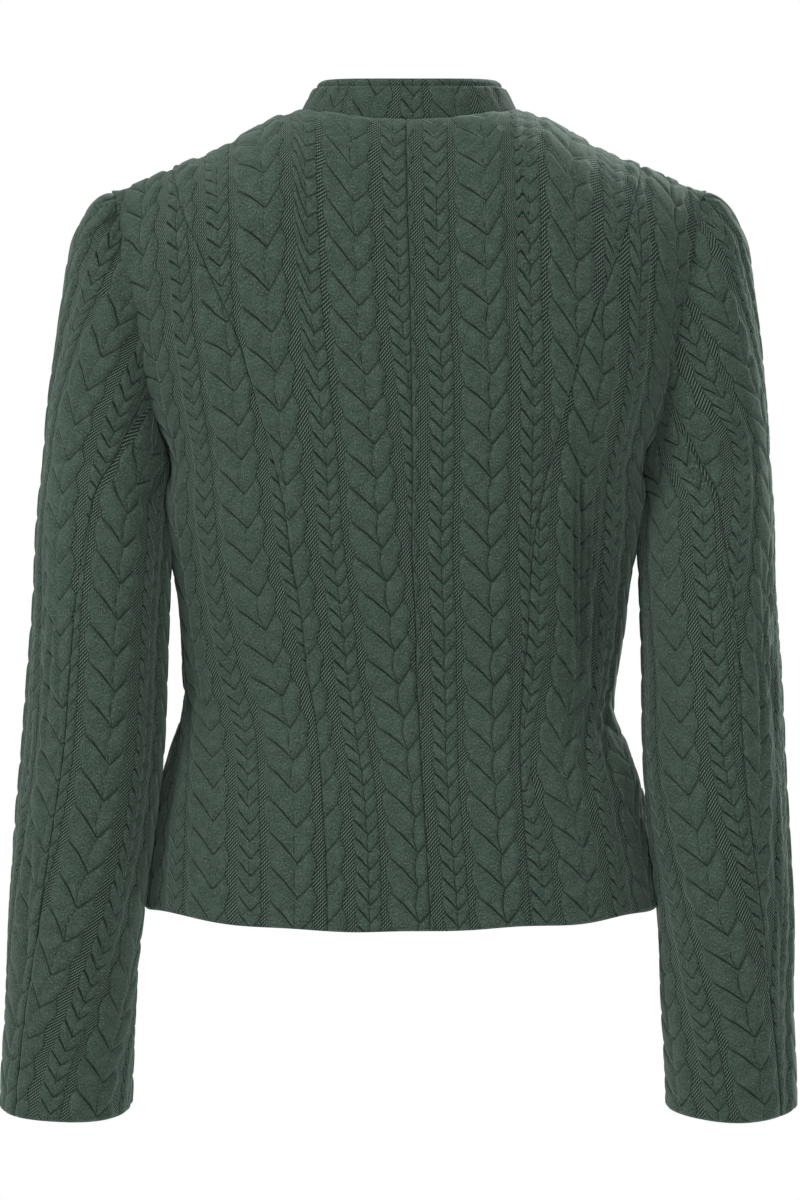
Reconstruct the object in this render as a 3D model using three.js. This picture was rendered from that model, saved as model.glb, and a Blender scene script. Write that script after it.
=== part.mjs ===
// A fitted jacket in a cable-pattern sweat cloth, worn but with no wearer in it: two back panels,
// side panels, fronts lapped right over left, two-piece sleeves, a low stand collar and domed buttons.
// The frame is in millimetres, +Z up. The wearer faces -Y and the wearer's left is +X.
// The origin is the middle of the neck opening, at the level of the collar seam.
// Every panel is a cloth wall. Its outer points carry the cables, its inside is plain.

import * as THREE from 'three';

// Cloth
const WALL = 1.8;
const LOBE_HEIGHT = 1.2;
const RIB_HEIGHT = 0.8;
const SEAM_GAP = 0.4;
const CORNER_GAP = 1.6;
const CLEAR_OF_SEAM = 3;
const TORSO_INNER_STEP = 32;
const SLEEVE_INNER_STEP = 20;
const INNER_CLEARANCE = 12;
const ARMPIT_ROWS = 3;
const ARMPIT_REACH = 30;

// Cable pattern: one repeat across the cloth, and the height of one knitted row of lobes
const REPEAT = 60;
const ROW = 11.6;
const CHEVRON = 13;
const EASE_ROWS = 2.5;
const REPEATS_EACH_WAY = 6;
const CABLE = [
  { across: -17, height: 0, drop: 0, everyRow: false },
  { across: -8.5, height: LOBE_HEIGHT, drop: 0.5, everyRow: false },
  { across: 0, height: 0, drop: 1, everyRow: true },
  { across: 7, height: LOBE_HEIGHT, drop: 0.5, everyRow: false },
  { across: 13.5, height: 0, drop: 0, everyRow: false },
  { across: 28, height: RIB_HEIGHT, drop: 0, everyRow: true },
];

// Where the middle of a wide cable lies from each panel's grain line
const PHASE = {
  back_left: -21, back_right: 49, side_back: 4, side_front: 12, front: 24, sleeve: 70, under_sleeve: 0,
};

// Torso: horizontal sections below and beside the armholes, z up, half width and depths from x = y = 0
const SECTION_POWER = 2.4;
const ARMPIT_Z = -235;
const HEM_BACK_Z = -543;
const HEM_SIDE_Z = -533;
const LOWER_ROWS = 26;
const UPPER_ROWS = 21;
const TOP_ROW = LOWER_ROWS + UPPER_ROWS;
const TORSO = [
  { z: -545, half: 177, back: 112, front: 108 },
  { z: -500, half: 171, back: 110, front: 106 },
  { z: -460, half: 161.5, back: 104, front: 101 },
  { z: -430, half: 152.5, back: 94, front: 97 },
  { z: -400, half: 145, back: 84, front: 95 },
  { z: -375, half: 146.5, back: 83, front: 97 },
  { z: -347, half: 149.3, back: 86, front: 102 },
  { z: -320, half: 152, back: 89, front: 108 },
  { z: -290, half: 156, back: 93, front: 116 },
  { z: -262, half: 159.5, back: 96, front: 122 },
  { z: -235, half: 159.3, back: 98, front: 127 },
  { z: -209, half: 170.5, back: 100, front: 128 },
  { z: -177, half: 181.5, back: 102, front: 124 },
  { z: -150, half: 188.5, back: 103, front: 117 },
  { z: -120, half: 196, back: 103, front: 108 },
  { z: -96, half: 203, back: 102, front: 101 },
  { z: -60, half: 206, back: 102, front: 96 },
  { z: 10, half: 206, back: 102, front: 94 },
];

// Neck opening and shoulder line
const NECK_HALF = 74;
const NECK_BACK = 60;
const NECK_FRONT = 58;
const NECK_BACK_Z = -6;
const NECK_SIDE_Z = 5;
const NECK_FRONT_Z = -58;
const NECK_BACK_POWER = 2;
const NECK_FRONT_POWER = 1.6;
const SHOULDER_PULL = 4;
const SHOULDER = [
  { x: 74, z: 5 }, { x: 86, z: 2 }, { x: 99, z: -4.5 }, { x: 113, z: -12 }, { x: 126, z: -19 },
  { x: 140, z: -25.5 }, { x: 154, z: -31 }, { x: 167, z: -36.5 }, { x: 181, z: -42.5 }, { x: 206, z: -52 },
];
const ROUNDING = [
  { x: 0, back: 100, front: 105 },
  { x: 74, back: 82, front: 88 },
  { x: 206, back: 78, front: 82 },
];

// Armhole edge on the torso: part of the way up from the armpit, and angles from the centre back
const ARMHOLE = [
  { part: 0, back: 92, front: 92 },
  { part: 0.08, back: 83, front: 100 },
  { part: 0.2, back: 75, front: 107 },
  { part: 0.35, back: 70, front: 112 },
  { part: 0.5, back: 68, front: 114 },
  { part: 0.7, back: 68.5, front: 113 },
  { part: 0.85, back: 71, front: 110 },
  { part: 1, back: 77, front: 103 },
];

// Seams: the centre back seam drifts to the wearer's right, the shaped seams lie at these distances
const SEAMS = [
  { z: -548, drift: -18, back: 67, front: 84 },
  { z: -483, drift: -17.5, back: 66, front: 80 },
  { z: -435, drift: -16.5, back: 66.5, front: 76 },
  { z: -409, drift: -14.5, back: 68, front: 75 },
  { z: -367, drift: -10.5, back: 73, front: 78 },
  { z: -319, drift: -7.5, back: 77.5, front: 84 },
  { z: -260, drift: -4.8, back: 86, front: 92 },
  { z: -211, drift: -3, back: 99, front: 99 },
  { z: -154, drift: -1.5, back: 116, front: 112 },
  { z: -112, drift: -0.5, back: 134, front: 128 },
  { z: -70, drift: 1, back: 151, front: 146 },
  { z: -28, drift: 2, back: 164, front: 164 },
];

// The whole jacket leans a little sideways: how far the torso and the sleeves move to the wearer's left
const LEAN = [
  { z: -682, torso: 1, sleeve: 3.7 },
  { z: -592, torso: 1, sleeve: 3.2 },
  { z: -545, torso: 1, sleeve: 2.2 },
  { z: -500, torso: 2.5, sleeve: 1.8 },
  { z: -460, torso: 4.5, sleeve: 1.2 },
  { z: -430, torso: 5.4, sleeve: 0.5 },
  { z: -401, torso: 4.2, sleeve: 0 },
  { z: -374, torso: 3, sleeve: -0.3 },
  { z: -345, torso: 1.2, sleeve: -0.4 },
  { z: -292, torso: 0.9, sleeve: -0.5 },
  { z: -235, torso: -1.8, sleeve: -1.8 },
  { z: -150, torso: -3, sleeve: -3 },
  { z: 30, torso: -3.7, sleeve: -3.7 },
];

// Sleeve tube below the armpit: edges towards the hip and outward, its middle and half depth in y
const SLEEVE = [
  { z: -682, inner: 182.3, outer: 267.8, middle: 16, depth: 39 },
  { z: -646, inner: 180.5, outer: 266.5, middle: 24, depth: 40.5 },
  { z: -592, inner: 177.5, outer: 263.5, middle: 33, depth: 42.5 },
  { z: -537, inner: 173.8, outer: 262, middle: 39, depth: 44.5 },
  { z: -480, inner: 167, outer: 258.5, middle: 40, depth: 47 },
  { z: -428, inner: 162.5, outer: 255, middle: 36, depth: 49 },
  { z: -374, inner: 161.2, outer: 252.8, middle: 29, depth: 51 },
  { z: -320, inner: 160, outer: 250.5, middle: 21, depth: 54 },
  { z: -285, inner: 160.5, outer: 249.5, middle: 14, depth: 55.5 },
  { z: -258, inner: 162.5, outer: 248, middle: 6.5, depth: 56.5 },
  { z: -246, inner: 163, outer: 247, middle: 2, depth: 57 },
  { z: -235, inner: 159.8, outer: 246, middle: -2.5, depth: 57 },
];
const CUFF_BACK_Z = -675;
const CUFF_FRONT_Z = -664;
const SLEEVE_ROWS = 38;

// Sleeve cap outline from the armpit level up to the shoulder point
const CAP = [
  { x: 246, z: -235 }, { x: 243.5, z: -197 }, { x: 238.7, z: -156 }, { x: 233, z: -116 },
  { x: 229, z: -88 }, { x: 224, z: -75 }, { x: 216, z: -61.5 }, { x: 202, z: -50 },
];

// Sleeve seams as angles round the sleeve from its outer line, towards the back and the front.
// Above the underarm row they run straight to the rows where they meet the armhole.
const SLEEVE_SEAMS = [
  { row: -38, hind: 42, fore: 128 },
  { row: -32, hind: 50, fore: 127 },
  { row: -27, hind: 60, fore: 126 },
  { row: -18, hind: 69, fore: 126 },
  { row: -8, hind: 74, fore: 125 },
  { row: -2, hind: 86, fore: 124 },
];
const UNDERARM_ROW = -2;
const MEETING_ROW = 6;
const UNDERARM_STEP = 2;
const CAP_POWER = 4;
const CAP_RISE = 0.9;
const CAP_CORE = { x: 195, drop: 12 };
const UNDERARM_CORE_X = 203;
const SHORT_OF_SHOULDER = 0.05;

// Closure and collar
const LAP = 15;
const LAP_DEPTH = 3;
const LAP_SLOPE = 20;
const LAP_CLEAR = 2;
const LAP_LINES = [-LAP - LAP_CLEAR - LAP_SLOPE, -LAP - LAP_CLEAR, -1];
const COLLAR_TOP_HALF = 61;
const COLLAR_TOP_BACK = 53;
const COLLAR_TOP_FRONT = 50;
const COLLAR_BACK_Z = 22.5;
const COLLAR_SIDE_Z = 26;
const COLLAR_FRONT_Z = -33;
const COLLAR_END = 1;
const COLLAR_END_CLEAR = 3;
const COLLAR_LEVELS = [0, 0.3, 0.7, 1];

// Buttons
const BUTTON_ROWS = [37.2, 30.6, 24, 17.4, 10.8, 4.2];
const BUTTON_PROFILE = [[0, 0], [8.5, 0], [10.5, 1.2], [10.1, 2.6], [7, 4.2], [0, 5]];
const BUTTON_SIDES = 12;
const BUTTON_SEAT = 0.6;

// Working steps for the curves: how finely the surfaces are sampled and the normals taken
const AROUND = 180;
const UP = 63;
const COLUMN_STEPS = 40;
const SLEEVE_STEPS = 120;
const NORMAL_STEP = { across: 1, up: 0.1 };
const TORSO_CORE_DROP = 60;
const SETTLING_TURNS = 4;
const HALVINGS = 24;

const CLOTH = new THREE.MeshStandardMaterial({ color: 0x3f5348, roughness: 0.9, metalness: 0 });
const HORN = new THREE.MeshStandardMaterial({ color: 0x2b2f2b, roughness: 0.45, metalness: 0 });

// A smooth curve through one column of a table, read at a value of its first column
function curve(rows, key, value) {
  const at = rows.map((row) => row[key]);
  const of = rows.map((row) => row[value]);
  const slope = at.map((_, k) => {
    const low = Math.max(k - 1, 0);
    const high = Math.min(k + 1, at.length - 1);
    return (of[high] - of[low]) / (at[high] - at[low]);
  });
  return (t) => {
    const x = THREE.MathUtils.clamp(t, at[0], at[at.length - 1]);
    let k = 0;
    while (k < at.length - 2 && at[k + 1] < x) k += 1;
    const step = at[k + 1] - at[k];
    const u = (x - at[k]) / step;
    const a = (1 + 2 * u) * (1 - u) * (1 - u) * of[k];
    const b = u * (1 - u) * (1 - u) * step * slope[k];
    const c = u * u * (3 - 2 * u) * of[k + 1];
    const d = u * u * (u - 1) * step * slope[k + 1];
    return a + b + c + d;
  };
}

const half = curve(TORSO, 'z', 'half');
const depth = { back: curve(TORSO, 'z', 'back'), front: curve(TORSO, 'z', 'front') };
const rounding = { back: curve(ROUNDING, 'x', 'back'), front: curve(ROUNDING, 'x', 'front') };
const shoulderZ = curve(SHOULDER, 'x', 'z');
const armholeAngle = { back: curve(ARMHOLE, 'part', 'back'), front: curve(ARMHOLE, 'part', 'front') };
const seamDrift = curve(SEAMS, 'z', 'drift');
const seamBack = curve(SEAMS, 'z', 'back');
const seamFront = curve(SEAMS, 'z', 'front');
const sleeve = Object.fromEntries(
  ['inner', 'outer', 'middle', 'depth'].map((key) => [key, curve(SLEEVE, 'z', key)]),
);
const lean = { torso: curve(LEAN, 'z', 'torso'), sleeve: curve(LEAN, 'z', 'sleeve') };
const tubeSeam = { back: curve(SLEEVE_SEAMS, 'row', 'hind'), front: curve(SLEEVE_SEAMS, 'row', 'fore') };

const vector = (x, y, z) => new THREE.Vector3(x, y, z);
const power = (value) => Math.sign(value) * Math.abs(value) ** (2 / SECTION_POWER);

// A point of the torso's horizontal section at height z, at an angle from the centre back
function sectionPoint(angle, z) {
  const side = Math.cos(angle) > 0 ? 'back' : 'front';
  return vector(half(z) * power(Math.sin(angle)), depth[side](z) * power(Math.cos(angle)), z);
}

// Where a column of the torso ends at the top: on the neck seam or on the shoulder seam
function topPoint(angle) {
  const x = half(0) * power(Math.sin(angle));
  if (x >= NECK_HALF) return vector(x, 0, shoulderZ(x));
  const along = Math.sqrt(1 - (x / NECK_HALF) ** 2);
  if (Math.cos(angle) > 0) {
    const fall = along ** NECK_BACK_POWER;
    return vector(x, NECK_BACK * along, THREE.MathUtils.lerp(NECK_SIDE_Z, NECK_BACK_Z, fall));
  }
  const fall = along ** NECK_FRONT_POWER;
  return vector(x, -NECK_FRONT * along, THREE.MathUtils.lerp(NECK_SIDE_Z, NECK_FRONT_Z, fall));
}

// One column above the armpit level: up the section, then over the shoulder on a quarter ellipse
function upperColumn(angle, steps) {
  const side = Math.cos(angle) > 0 ? 'back' : 'front';
  const top = topPoint(angle);
  const bend = Math.min(rounding[side](top.x), top.z - ARMPIT_Z - 1);
  const line = [];
  for (let k = 0; k <= steps; k += 1) {
    line.push(sectionPoint(angle, THREE.MathUtils.lerp(ARMPIT_Z, top.z - bend, k / steps)));
  }
  for (let k = 1; k <= steps; k += 1) {
    const turn = (Math.PI / 2) * (k / steps);
    const z = top.z - bend * (1 - Math.sin(turn));
    const flat = sectionPoint(angle, z);
    const y = top.y + (flat.y - top.y) * Math.cos(turn);
    line.push(vector(THREE.MathUtils.lerp(flat.x, top.x, Math.sin(turn) ** SHOULDER_PULL), y, z));
  }
  return line;
}

// Points at even distances along a line of points
function evenly(line, count) {
  const run = [0];
  for (let k = 1; k < line.length; k += 1) run.push(run[k - 1] + line[k].distanceTo(line[k - 1]));
  const total = run[run.length - 1];
  let k = 0;
  return Array.from({ length: count + 1 }, (_, j) => {
    const want = (total * j) / count;
    while (k < line.length - 2 && run[k + 1] < want) k += 1;
    return line[k].clone().lerp(line[k + 1], (want - run[k]) / (run[k + 1] - run[k]));
  });
}

const UPPER = Array.from({ length: AROUND + 1 }, (_, i) =>
  evenly(upperColumn((Math.PI * i) / AROUND, COLUMN_STEPS), UP));

// A point of the torso at an angle from the centre back (+ to the wearer's left) and a row number
function torsoPoint(angle, row) {
  const turn = Math.abs(angle);
  const mirror = angle < 0 ? -1 : 1;
  let point;
  if (row <= LOWER_ROWS) {
    const hem = THREE.MathUtils.lerp(HEM_BACK_Z, HEM_SIDE_Z, Math.sin(turn) ** 2);
    point = sectionPoint(turn, THREE.MathUtils.lerp(hem, ARMPIT_Z, row / LOWER_ROWS));
  } else {
    const i = Math.min(Math.floor((turn * AROUND) / Math.PI), AROUND - 1);
    const u = (turn * AROUND) / Math.PI - i;
    const up = Math.min(((row - LOWER_ROWS) * UP) / UPPER_ROWS, UP);
    const j = Math.min(Math.floor(up), UP - 1);
    const v = up - j;
    const low = UPPER[i][j].clone().lerp(UPPER[i + 1][j], u);
    point = low.lerp(UPPER[i][j + 1].clone().lerp(UPPER[i + 1][j + 1], u), v);
  }
  point.x *= mirror;
  return point;
}

// For one row of the torso, the cloth's distance round from the centre back against the angle
const torsoRuns = new Map();
function torsoRun(row) {
  const key = row.toFixed(2);
  if (!torsoRuns.has(key)) {
    const run = [0];
    let last = null;
    for (let i = 0; i <= AROUND; i += 1) {
      const angle = (Math.PI * i) / AROUND;
      const flat = sectionPoint(angle, torsoPoint(angle, row).z);
      flat.z = 0;
      if (last) run.push(run[i - 1] + flat.distanceTo(last));
      last = flat;
    }
    torsoRuns.set(key, run);
  }
  return torsoRuns.get(key);
}

function readRun(run, distance, whole) {
  let k = 0;
  while (k < run.length - 2 && run[k + 1] < distance) k += 1;
  return (whole * (k + (distance - run[k]) / (run[k + 1] - run[k]))) / (run.length - 1);
}

const halfGirth = (row) => torsoRun(row)[AROUND];
const runAt = (row, angle) => {
  const run = torsoRun(row);
  const k = Math.min(Math.floor((angle * AROUND) / Math.PI), AROUND - 1);
  return THREE.MathUtils.lerp(run[k], run[k + 1], (angle * AROUND) / Math.PI - k);
};

// The torso's angle at a signed distance round it. Past the centre front it goes on to the other side.
function torsoAngle(distance, row) {
  const whole = halfGirth(row);
  const past = Math.abs(distance) > whole;
  const inside = past ? 2 * whole - Math.abs(distance) : Math.abs(distance);
  const angle = readRun(torsoRun(row), inside, Math.PI);
  return (distance < 0) === past ? angle : -angle;
}

function normalOf(surface, across, up, lowest, highest) {
  const a = surface(across + NORMAL_STEP.across, up).sub(surface(across - NORMAL_STEP.across, up));
  const high = Math.min(up + NORMAL_STEP.up, highest);
  const low = Math.max(up - NORMAL_STEP.up, lowest);
  const b = surface(across, high).sub(surface(across, low));
  return a.cross(b).normalize();
}

const torsoAt = (distance, row) => torsoPoint(torsoAngle(distance, row), row);
const outward = (normal, point, middle) =>
  (normal.dot(point.clone().sub(middle)) < 0 ? normal.negate() : normal);
function torsoNormal(distance, row) {
  const point = torsoAt(distance, row);
  const core = vector(0, 0, point.z - TORSO_CORE_DROP);
  return outward(normalOf(torsoAt, distance, row, 0, TOP_ROW), point, core);
}

// Signed distances round the torso of the seams, on the side of the wearer's left (+1) or right (-1).
// A seam's table is read at the height of the cloth there, so its distance settles in a few turns.
function settled(row, start, distanceAt) {
  let distance = start;
  for (let turn = 0; turn < SETTLING_TURNS; turn += 1) distance = distanceAt(torsoAt(distance, row).z);
  return distance;
}
const centreBack = (row) => seamDrift(torsoAt(0, row).z);
const backSeam = (side) => (row) =>
  centreBack(row) + settled(row, side * seamBack(ARMPIT_Z), (z) => side * seamBack(z));
const frontSeam = (side) => (row) =>
  settled(row, side * (halfGirth(row) - seamFront(ARMPIT_Z)), (z) => side * (halfGirth(row) - seamFront(z)));
const armholeTurn = (branch, row) =>
  THREE.MathUtils.degToRad(armholeAngle[branch]((row - LOWER_ROWS) / UPPER_ROWS));
const sideEdge = (side, branch) => (row) => {
  const angle = row > LOWER_ROWS ? armholeTurn(branch, row) : armholeTurn('back', LOWER_ROWS);
  return side * runAt(row, angle);
};

// Sleeve on the wearer's left, by the angle from its outer line (+ to the back) and a row number.
// Row 0 is the armpit level, rows below it are negative, and rows above it end on the armhole.
const capLine = new THREE.CatmullRomCurve3(CAP.map((p) => vector(p.x, 0, p.z)));
const armholeSpot = (branch, row) => torsoPoint(armholeTurn(branch, row + LOWER_ROWS), row + LOWER_ROWS);

function capRow(row) {
  const part = Math.min(row / UPPER_ROWS, 1);
  const out = capLine.getPointAt(part);
  const middle = sleeve.middle(ARMPIT_Z) * (1 - part);
  const branches = {};
  for (const branch of ['back', 'front']) {
    const spot = armholeSpot(branch, row);
    const reach = Math.abs(spot.y - middle);
    const deep = Math.max(sleeve.depth(ARMPIT_Z) * Math.sqrt(1 - part ** CAP_POWER), reach * 1.02, 0.5);
    const end = Math.PI - Math.asin(Math.min(reach / deep, 1));
    const wide = (out.x - spot.x) / (1 - Math.cos(end));
    branches[branch] = { spot, deep, end, wide };
  }
  return { out, middle, branches };
}

const capRows = new Map();
function capAt(row) {
  const key = row.toFixed(3);
  if (!capRows.has(key)) capRows.set(key, capRow(row));
  return capRows.get(key);
}

function sleevePoint(angle, row) {
  if (row <= 0) {
    const cuff = THREE.MathUtils.lerp(CUFF_FRONT_Z, CUFF_BACK_Z, (1 + Math.sin(angle)) / 2);
    const z = THREE.MathUtils.lerp(ARMPIT_Z, cuff, -row / SLEEVE_ROWS);
    const wide = (sleeve.outer(z) - sleeve.inner(z)) / 2;
    return vector(sleeve.inner(z) + wide * (1 + Math.cos(angle)),
      sleeve.middle(z) + sleeve.depth(z) * Math.sin(angle), z);
  }
  const { out, middle, branches } = capAt(row);
  const branch = branches[angle >= 0 ? 'back' : 'front'];
  const rise = (1 - Math.cos(angle)) / (1 - Math.cos(branch.end));
  return vector(out.x - branch.wide * (1 - Math.cos(angle)), middle + branch.deep * Math.sin(angle),
    THREE.MathUtils.lerp(out.z, branch.spot.z, Math.abs(rise) ** CAP_RISE));
}

// For one row of the sleeve, the cloth's distance round from the outer line, to the back and the front
const sleeveRuns = new Map();
function sleeveRun(row) {
  const key = row.toFixed(2);
  if (!sleeveRuns.has(key)) {
    const lines = {};
    for (const side of [1, -1]) {
      const run = [0];
      for (let k = 1; k <= SLEEVE_STEPS; k += 1) {
        const here = sleevePoint((side * Math.PI * k) / SLEEVE_STEPS, Math.min(row, 0));
        const last = sleevePoint((side * Math.PI * (k - 1)) / SLEEVE_STEPS, Math.min(row, 0));
        run.push(run[k - 1] + here.distanceTo(last));
      }
      lines[side] = run;
    }
    sleeveRuns.set(key, lines);
  }
  return sleeveRuns.get(key);
}

const aroundSleeve = (angle, row) => {
  const side = angle < 0 ? -1 : 1;
  const run = sleeveRun(row)[side];
  const step = (Math.min(Math.abs(angle), 2 * Math.PI) * SLEEVE_STEPS) / Math.PI;
  if (step > SLEEVE_STEPS) {
    const other = sleeveRun(row)[-side];
    const back = 2 * SLEEVE_STEPS - step;
    const k = Math.min(Math.floor(back), SLEEVE_STEPS - 1);
    const rest = THREE.MathUtils.lerp(other[k], other[k + 1], back - k);
    return side * (run[SLEEVE_STEPS] + other[SLEEVE_STEPS] - rest);
  }
  const k = Math.min(Math.floor(step), SLEEVE_STEPS - 1);
  return side * THREE.MathUtils.lerp(run[k], run[k + 1], step - k);
};

function sleeveAngle(distance, row) {
  const side = distance < 0 ? -1 : 1;
  const run = sleeveRun(row)[side];
  const inside = Math.abs(distance);
  if (inside <= run[SLEEVE_STEPS]) return side * readRun(run, inside, Math.PI);
  const other = sleeveRun(row)[-side];
  const rest = run[SLEEVE_STEPS] + other[SLEEVE_STEPS] - inside;
  return side * (2 * Math.PI - readRun(other, rest, Math.PI));
}

const wrap = (angle) => (angle > Math.PI ? angle - 2 * Math.PI : angle);
const sleeveAt = (distance, row) => sleevePoint(wrap(sleeveAngle(distance, row)), row);
function sleeveNormal(distance, row) {
  const point = sleeveAt(distance, row);
  const z = Math.min(point.z, ARMPIT_Z);
  const middle = vector((sleeve.inner(z) + sleeve.outer(z)) / 2, sleeve.middle(z), point.z);
  if (row > 0) middle.set(CAP_CORE.x, 0, point.z - CAP_CORE.drop);
  const highest = UPPER_ROWS - SHORT_OF_SHOULDER / 2;
  return outward(normalOf(sleeveAt, distance, row, -SLEEVE_ROWS, highest), point, middle);
}

// The armhole seam, shared by body and sleeve: its point, the normal of both, and the way to the sleeve
const armholes = new Map();
function armhole(branch, row) {
  const key = branch + row.toFixed(2);
  if (!armholes.has(key)) {
    const up = Math.min(row, UPPER_ROWS - SHORT_OF_SHOULDER);
    const atArmpit = row < 0.5;
    const edge = sideEdge(1, branch)(up + LOWER_ROWS);
    const sign = branch === 'back' ? 1 : -1;
    const point = armholeSpot(branch, row);
    const bodyAt = atArmpit ? [edge, LOWER_ROWS - 0.5] : [edge - sign * 2, up + LOWER_ROWS];
    const sleeveTurn = atArmpit ? Math.PI : capAt(up).branches[branch].end - 0.06;
    const sleeveRow = atArmpit ? -0.5 : up;
    const inBody = torsoAt(...bodyAt);
    const inSleeve = sleevePoint(sign * sleeveTurn, sleeveRow);
    const sleeveSide = sleeveNormal(sign * Math.abs(aroundSleeve(sleeveTurn, sleeveRow)), sleeveRow);
    const normal = torsoNormal(...bodyAt).add(sleeveSide);
    if (row === UPPER_ROWS || atArmpit) normal.y = 0;
    normal.normalize();
    const toBody = inBody.sub(point).normalize();
    const toSleeve = inSleeve.sub(point).normalize();
    const way = toSleeve.sub(toBody);
    if (row === UPPER_ROWS || atArmpit) way.y = 0;
    way.addScaledVector(normal, -way.dot(normal)).normalize();
    armholes.set(key, { point, normal, way });
  }
  return armholes.get(key);
}

// How far round the sleeve its cloth goes at a row above the armpit, and where its two seams lie
const capEnd = (branch, row) =>
  (row <= 0 ? Math.PI : capAt(Math.min(row, UPPER_ROWS - SHORT_OF_SHOULDER)).branches[branch].end);
function sleeveSeam(branch, row) {
  const tube = THREE.MathUtils.degToRad(tubeSeam[branch](Math.min(row, UNDERARM_ROW)));
  if (row <= UNDERARM_ROW) return tube;
  const rise = (row - UNDERARM_ROW) / (MEETING_ROW - UNDERARM_ROW);
  return THREE.MathUtils.lerp(tube, capEnd(branch, MEETING_ROW), rise);
}

// Joins two rows of points into triangles. Each point's "at" gives its order along its row.
function ribbon(faces, low, high) {
  let a = 0;
  let b = 0;
  while (a < low.length - 1 || b < high.length - 1) {
    const stepLow = a < low.length - 1 ? low[a + 1].at + low[a].at : Infinity;
    const stepHigh = b < high.length - 1 ? high[b + 1].at + high[b].at : Infinity;
    if (stepLow <= stepHigh) {
      faces.push([low[a], low[a + 1], high[b]]);
      a += 1;
    } else {
      faces.push([low[a], high[b + 1], high[b]]);
      b += 1;
    }
  }
}

// A closed wall of cloth from its outer and inner rows of points. A row's level orders the side edges.
function wall(name, outer, inner, leaning) {
  const faces = [];
  for (let k = 1; k < outer.length; k += 1) ribbon(faces, outer[k - 1], outer[k]);
  for (let k = 1; k < inner.length; k += 1) ribbon(faces, inner[k], inner[k - 1]);
  const edge = (rows, pick) => rows.map((row) => ({ at: row.level, of: pick(row) }));
  const first = (row) => row[0];
  const last = (row) => row[row.length - 1];
  const rim = [];
  ribbon(rim, first(outer), first(inner));
  ribbon(rim, last(inner), last(outer));
  ribbon(rim, edge(inner, first), edge(outer, first));
  ribbon(rim, edge(outer, last), edge(inner, last));
  for (const [a, b, c] of rim) faces.push([a, c, b]);
  const numbers = new Map();
  const positions = [];
  const index = [];
  for (const corner of faces.flat()) {
    const point = corner.of ?? corner;
    if (!numbers.has(point)) {
      numbers.set(point, numbers.size);
      positions.push(point.place.x + leaning(point.place.z), point.place.y, point.place.z);
    }
    index.push(numbers.get(point));
  }
  return solid(name, positions, index, CLOTH);
}

// A mesh whose faces point out
function solid(name, positions, index, material) {
  let volume = 0;
  const corner = (k) => vector(positions[3 * k], positions[3 * k + 1], positions[3 * k + 2]);
  for (let k = 0; k < index.length; k += 3) {
    volume += corner(index[k]).dot(corner(index[k + 1]).cross(corner(index[k + 2])));
  }
  if (volume < 0) {
    for (let k = 0; k < index.length; k += 3) {
      const swap = index[k + 1];
      index[k + 1] = index[k + 2];
      index[k + 2] = swap;
    }
  }
  const geometry = new THREE.BufferGeometry();
  geometry.setAttribute('position', new THREE.Float32BufferAttribute(positions, 3));
  geometry.setIndex(index);
  geometry.computeVertexNormals();
  const mesh = new THREE.Mesh(geometry, material);
  mesh.name = name;
  return mesh;
}

function vertex(at, point, normal, height) {
  return { at, place: point.clone().addScaledVector(normal, height), point };
}

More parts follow.
